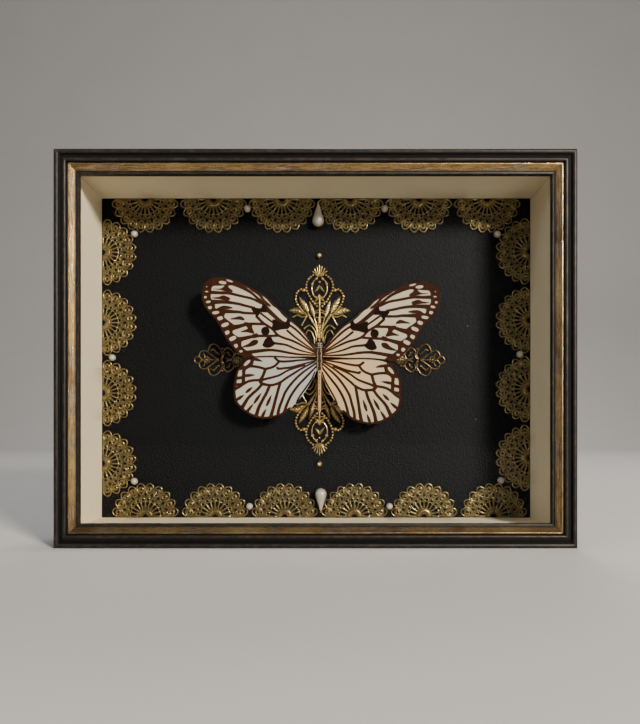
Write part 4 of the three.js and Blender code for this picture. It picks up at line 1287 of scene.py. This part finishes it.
def coons_grid(wing, along, across):
    """Points of the wing between its four edges: rows run from the root to the outer edge."""
    front = even_steps(spline(wing["front"], 10), along)
    rear = even_steps(spline(wing["rear"], 10), along)
    outer = even_steps(spline(wing["outer"], 10), across)
    root = even_steps(np.array([front[0], rear[0]]), across)
    s = np.linspace(0, 1, along)[:, None, None]
    t = np.linspace(0, 1, across)[None, :, None]
    ruled = (1 - t) * front[:, None] + t * rear[:, None] + (1 - s) * root[None] + s * outer[None]
    corners = ((1 - s) * (1 - t) * front[0] + s * (1 - t) * front[-1]
               + (1 - s) * t * rear[0] + s * t * rear[-1])
    return ruled - corners, s[..., 0], t[..., 0]


def wing_piece(node, wing, side, turn, root_height):
    """A thin closed sheet with raised veins, mirrored for the left side."""
    along, across = wing["grid"]
    grid, s, t = coons_grid(wing, along, across)
    flat = grid.reshape(-1, 2)
    ink, dark, ridge = wing_marks(flat, wing)
    # The tint is the wing's own warm root tone and, on the hindwings, painted light of opposite casts.
    root_tint_and_light_cast = wing["tint"][side] * np.exp(-np.hypot(flat[:, 0], flat[:, 1]) / wing["tint_reach"])
    angle = math.radians(turn)
    x = flat[:, 0] * math.cos(angle) - flat[:, 1] * math.sin(angle)
    y = flat[:, 0] * math.sin(angle) + flat[:, 1] * math.cos(angle)
    bulge = wing["camber"] * (np.sin(math.pi * t) * np.sin(math.pi * np.clip(s * 1.05, 0, 1))).reshape(-1)
    curl = 0.25 * (s**3 * np.sin(5 * t + side)).reshape(-1)
    height = root_height + WING_RISE * np.abs(x) + bulge + curl
    top = np.column_stack([BODY_X + side * x, BODY_Y + y, height + 0.07 * ridge])
    under = np.column_stack([BODY_X + side * x, BODY_Y + y, height - WING_SHEET])
    index = np.arange(along * across).reshape(along, across)
    a, b, c, d = (part.ravel() for part in (index[:-1, :-1], index[1:, :-1], index[1:, 1:], index[:-1, 1:]))
    lower = along * across
    facing = [(a, d, c, b), (a, b, c, d)] if side > 0 else [(a, b, c, d), (a, d, c, b)]
    faces = np.column_stack(facing[0]).tolist() + (np.column_stack(facing[1]) + lower).tolist()
    rim = np.concatenate([index[:, 0], index[-1, 1:], index[-2::-1, -1], index[0, -2:0:-1]])
    after = np.roll(rim, -1)
    edge = (rim, after, after + lower, rim + lower) if side > 0 else (after, rim, rim + lower, after + lower)
    faces += np.column_stack(edge).tolist()
    marks = {"ink": np.tile(ink, 2), "dark": np.tile(dark, 2), "root_tint_and_light_cast": np.tile(root_tint_and_light_cast, 2)}
    points = to_world(np.vstack([top, under]))
    finish_mesh(node.replace("wing", "wing_sheet"), points, faces, [WING], [node], 50, marks)


wing_piece("forewing_left", FOREWING, -1, 0, FOREWING_ROOT)
wing_piece("forewing_right", FOREWING, 1, RIGHT_FOREWING_TURN, FOREWING_ROOT)
wing_piece("hindwing_left", HINDWING, -1, 0, HINDWING_ROOT)
wing_piece("hindwing_right", HINDWING, 1, RIGHT_HINDWING_TURN, HINDWING_ROOT)


# Body

BODY_PROFILE = [(0.1, -25.2), (0.7, -24.9), (1.15, -23.4), (1.22, -21), (1.12, -17), (0.98, -12.5), (0.9, -9),
                (1.0, -7.4), (1.45, -6.2), (1.7, -4.2), (1.8, -1.5), (1.75, 0.8), (1.55, 2.4), (1.15, 3.3),
                (1.05, 3.6), (1.3, 4.3), (1.35, 5.0), (1.15, 5.9), (0.6, 6.5), (0.1, 6.7)]
HEAD_DOTS = [(x, y) for y in (3.9, 4.75, 5.6) for x in (-1.05, -0.38, 0.38, 1.05)]
HEAD_DOT_RADIUS = 0.22
WHITE = 2.0
HAIR_COUNT = 900
LIMB_SAMPLES = 60


def body_pale(x, y, up):
    """How pale the hide is: dotted head, streaked thorax, abdomen with a dotted line and dark sides."""
    if y > 3.4:
        nearest = min(math.hypot(x - dot_x, y - dot_y) for dot_x, dot_y in HEAD_DOTS)
        return WHITE if up > 0 and nearest < HEAD_DOT_RADIUS else 0.0
    if y > -6.6:
        streak = abs(abs(x) - 0.8 - 0.12 * math.sin(1.9 * y)) < 0.2
        return 0.7 if streak and up > 0 else 0.1
    dotted = abs(x) < 0.17 and math.sin(TAU * y / 1.6) > -0.2 and y > -18
    sided = abs(x) > 0.68
    return 0.1 if dotted or sided else 0.95


def butterfly_body():
    body = MeshBuilder()
    line = spline(BODY_PROFILE, 9)
    around = 48
    angles = np.linspace(0, TAU, around, endpoint=False)
    rings, pale = [], []
    for radius, y in line:
        joint = 0.05 * math.cos(TAU * y / 2.3) if y < -7.4 else 0.0
        ring = []
        for angle in angles:
            reach = max(radius + joint, 0.02)
            x, up = reach * math.cos(angle), reach * math.sin(angle)
            ring.append((BODY_X + x, BODY_Y + y, BODY_AXIS + up))
            pale.append(body_pale(x, y, math.sin(angle)))
        rings.append(ring)
    pale = np.array(pale).reshape(len(rings), around)
    body.rings(np.array(rings)[:, ::-1], False, pale[:, ::-1].ravel())
    add_hairs(body)
    for side in (1, -1):
        body.ball((BODY_X + side * 1.0, BODY_Y + 5.0, BODY_AXIS + 0.25), 0.75, 20, 12, (0.8, 1, 1))
        body.shade_last(0.0)
        add_limbs(body, side)
    body.build("butterfly", [HIDE], "insect_body", ["butterfly_body"], mark_name="pale")


def add_hairs(body):
    """Short pointed hairs over the thorax, the head and the wing roots."""
    for _ in range(HAIR_COUNT):
        y = random.uniform(-6.8, 5.8)
        angle = random.uniform(-0.5, math.pi + 0.5)
        radius = float(np.interp(y, [p[1] for p in BODY_PROFILE], [p[0] for p in BODY_PROFILE]))
        root = np.array([radius * math.cos(angle), y, radius * math.sin(angle)])
        out = np.array([math.cos(angle), random.uniform(-0.9, 0.1), math.sin(angle)])
        length = random.uniform(0.4, 0.85)
        tip = root + out / np.linalg.norm(out) * length + [0, -0.3 * length, 0]
        side = np.cross(out, [0.3, 1, 0.2])
        side /= np.linalg.norm(side)
        lift = np.cross(side, out)
        lift /= np.linalg.norm(lift)
        base = root - 0.12 * out
        ring = [base + 0.05 * side, base + 0.05 * lift, base - 0.05 * side, tip]
        origin = np.array([BODY_X, BODY_Y, BODY_AXIS])
        tone = body_pale(root[0], y, math.sin(angle))
        body.add(np.array(ring) + origin, [(0, 1, 3), (1, 2, 3), (2, 0, 3), (2, 1, 0)], tone)


def add_limbs(body, side):
    """One antenna with its club, two legs with joints, and a palp."""
    origin = np.array([BODY_X, BODY_Y, BODY_AXIS])

    def limb(points, radii, sides=8, turn=0.0):
        knots = np.array(points, float)
        x, y = knots[:, 0].copy(), knots[:, 1].copy()
        knots[:, 0] = side * (x * math.cos(turn) - y * math.sin(turn))
        knots[:, 1] = x * math.sin(turn) + y * math.cos(turn)
        knots += origin
        line = even_steps(spline(knots, 10), LIMB_SAMPLES)
        thick = np.interp(np.linspace(0, 1, LIMB_SAMPLES), np.linspace(0, 1, len(radii)), radii)
        body.tube(line, thick, sides)
        body.shade_last(0.0)

    costa = [(0.35, 6.0, 0.9), (3.4, 7.0, 2.0), (7.0, 10.2, 2.3), (13.0, 15.8, 2.6), (17.6, 20.0, 2.85)]
    wing_turn = math.radians(RIGHT_FOREWING_TURN) if side > 0 else 0.0
    limb(costa, [0.11, 0.1, 0.1, 0.1, 0.13, 0.22], turn=wing_turn)
    leg_radii = [0.3, 0.24, 0.28, 0.16, 0.14]
    limb([(0.9, 1.2, -1.2), (3.4, 2.6, -2.6), (4.6, 4.8, -5)], leg_radii)
    limb([(0.9, -2.6, -1.2), (3.6, -4, -2.6), (4.8, -7.4, -5)], leg_radii)
    limb([(0.4, 6.0, 0.2), (0.6, 6.9, 0.5), (0.5, 7.4, 0.9)], [0.3, 0.26, 0.1])


butterfly_body()

PIN_RADIUS = 0.28
PIN_TOP = BODY_AXIS - 1.0
PIN_LOW, PIN_HIGH = card_box("mounting_pin")
pin = MeshBuilder()
pin_middle = (PIN_LOW + PIN_HIGH) / 2
pin_heights = np.linspace(PIN_LOW[2], PIN_TOP, 12)
pin_line = np.array([[pin_middle[0], pin_middle[1], z] for z in pin_heights])
pin.tube(pin_line, PIN_RADIUS, 20)
pin.build("steel_pin", [STEEL], "steel", ["mounting_pin"], 40)


# Stage, light and camera

def area_light(name, place, target, size, power, colour):
    light = bpy.data.lights.new(name, "AREA")
    light.shape = "DISK"
    light.size = size
    light.energy = power
    light.color = colour
    lamp = bpy.data.objects.new(name, light)
    lamp.location = place
    lamp.visible_camera = False
    direction = np.array(target, float) - np.array(place, float)
    lamp.rotation_euler = (
        math.atan2(math.hypot(direction[0], direction[1]), -direction[2]),
        0,
        math.atan2(direction[0], -direction[1]) + math.pi,
    )
    bpy.context.scene.collection.objects.link(lamp)


def pale_stage():
    """A pale sheet that lies flat under the frame and curves up far behind it."""
    half, front, bend, rise = 6.0, -1.4, 1.0, 0.6
    line = [(front, 0.0), (bend, 0.0)]
    line += [(bend + rise * math.sin(a), rise - rise * math.cos(a))
             for a in np.linspace(0, math.pi / 2, 17)[1:]]
    line.append((bend + rise, 2.6))
    points = [(x, y, z) for y, z in line for x in (-half, half)]
    faces = [(2 * i, 2 * i + 1, 2 * i + 3, 2 * i + 2) for i in range(len(line) - 1)]
    mesh = bpy.data.meshes.new("stage")
    mesh.from_pydata(points, [], faces)
    mesh.polygons.foreach_set("use_smooth", [True] * len(mesh.polygons))
    shader = Shader("pale_floor", specular_ior_level=0.2)
    shader.set("Base Color", shader.mix(shader.noise(0.01, 3), (0.60, 0.59, 0.575), (0.64, 0.63, 0.615)))
    shader.set("Roughness", 0.85)
    mesh.materials.append(shader.material)
    stage = bpy.data.objects.new("stage", mesh)
    bpy.context.scene.collection.objects.link(stage)


def soft_world():
    """Soft grey light that is dimmer from the front, where the glass would mirror it."""
    world = bpy.data.worlds.new("studio")
    bpy.context.scene.world = world
    world.use_nodes = True
    tree = world.node_tree
    background = tree.nodes["Background"]
    background.inputs["Color"].default_value = (0.92, 0.95, 1.0, 1)
    coordinates = tree.nodes.new("ShaderNodeTexCoord")
    split = tree.nodes.new("ShaderNodeSeparateXYZ")
    fade = tree.nodes.new("ShaderNodeMapRange")
    for socket, value in zip(("From Min", "From Max", "To Min", "To Max"), (-1.0, 0.4, 0.1, 0.27)):
        fade.inputs[socket].default_value = value
    tree.links.new(coordinates.outputs["Generated"], split.inputs[0])
    tree.links.new(split.outputs["Y"], fade.inputs["Value"])
    tree.links.new(fade.outputs[0], background.inputs["Strength"])


PHOTO_WIDTH = 640
PHOTO_HEIGHT = 724
FOCAL_PIXELS = 613
VANISHING_X = 320.8
VANISHING_Y = 426.3
EYE_X = 0.0022
EYE_HEIGHT = 0.0501
EYE_DISTANCE = 0.2495


def photo_camera():
    """Level camera low in front of the glass, shifted so that the frame sits as in the photograph."""
    data = bpy.data.cameras.new("photo_camera")
    data.sensor_width = 36
    data.lens = FOCAL_PIXELS / PHOTO_HEIGHT * data.sensor_width
    data.shift_x = (PHOTO_WIDTH / 2 - VANISHING_X) / PHOTO_HEIGHT
    data.shift_y = (VANISHING_Y - PHOTO_HEIGHT / 2) / PHOTO_HEIGHT
    data.clip_start = 0.01
    camera = bpy.data.objects.new("photo_camera", data)
    camera.location = (EYE_X, cad_box[0].y - EYE_DISTANCE, EYE_HEIGHT)
    camera.rotation_euler = Euler((math.pi / 2, 0, 0))
    bpy.context.scene.collection.objects.link(camera)
    bpy.context.scene.camera = camera


pale_stage()
soft_world()
area_light("key", (0.7, -1.0, 0.5), target=(0, 0, 0.08), size=0.26, power=27, colour=(1.0, 0.91, 0.78))
area_light("fill", (-0.9, -0.9, 0.9), target=(0, 0, 0.08), size=0.8, power=4, colour=(0.9, 0.95, 1.0))
area_light("rim", (0.2, 0.9, 1.1), target=(0, 0, 0.1), size=0.7, power=8, colour=(1.0, 0.97, 0.93))
photo_camera()
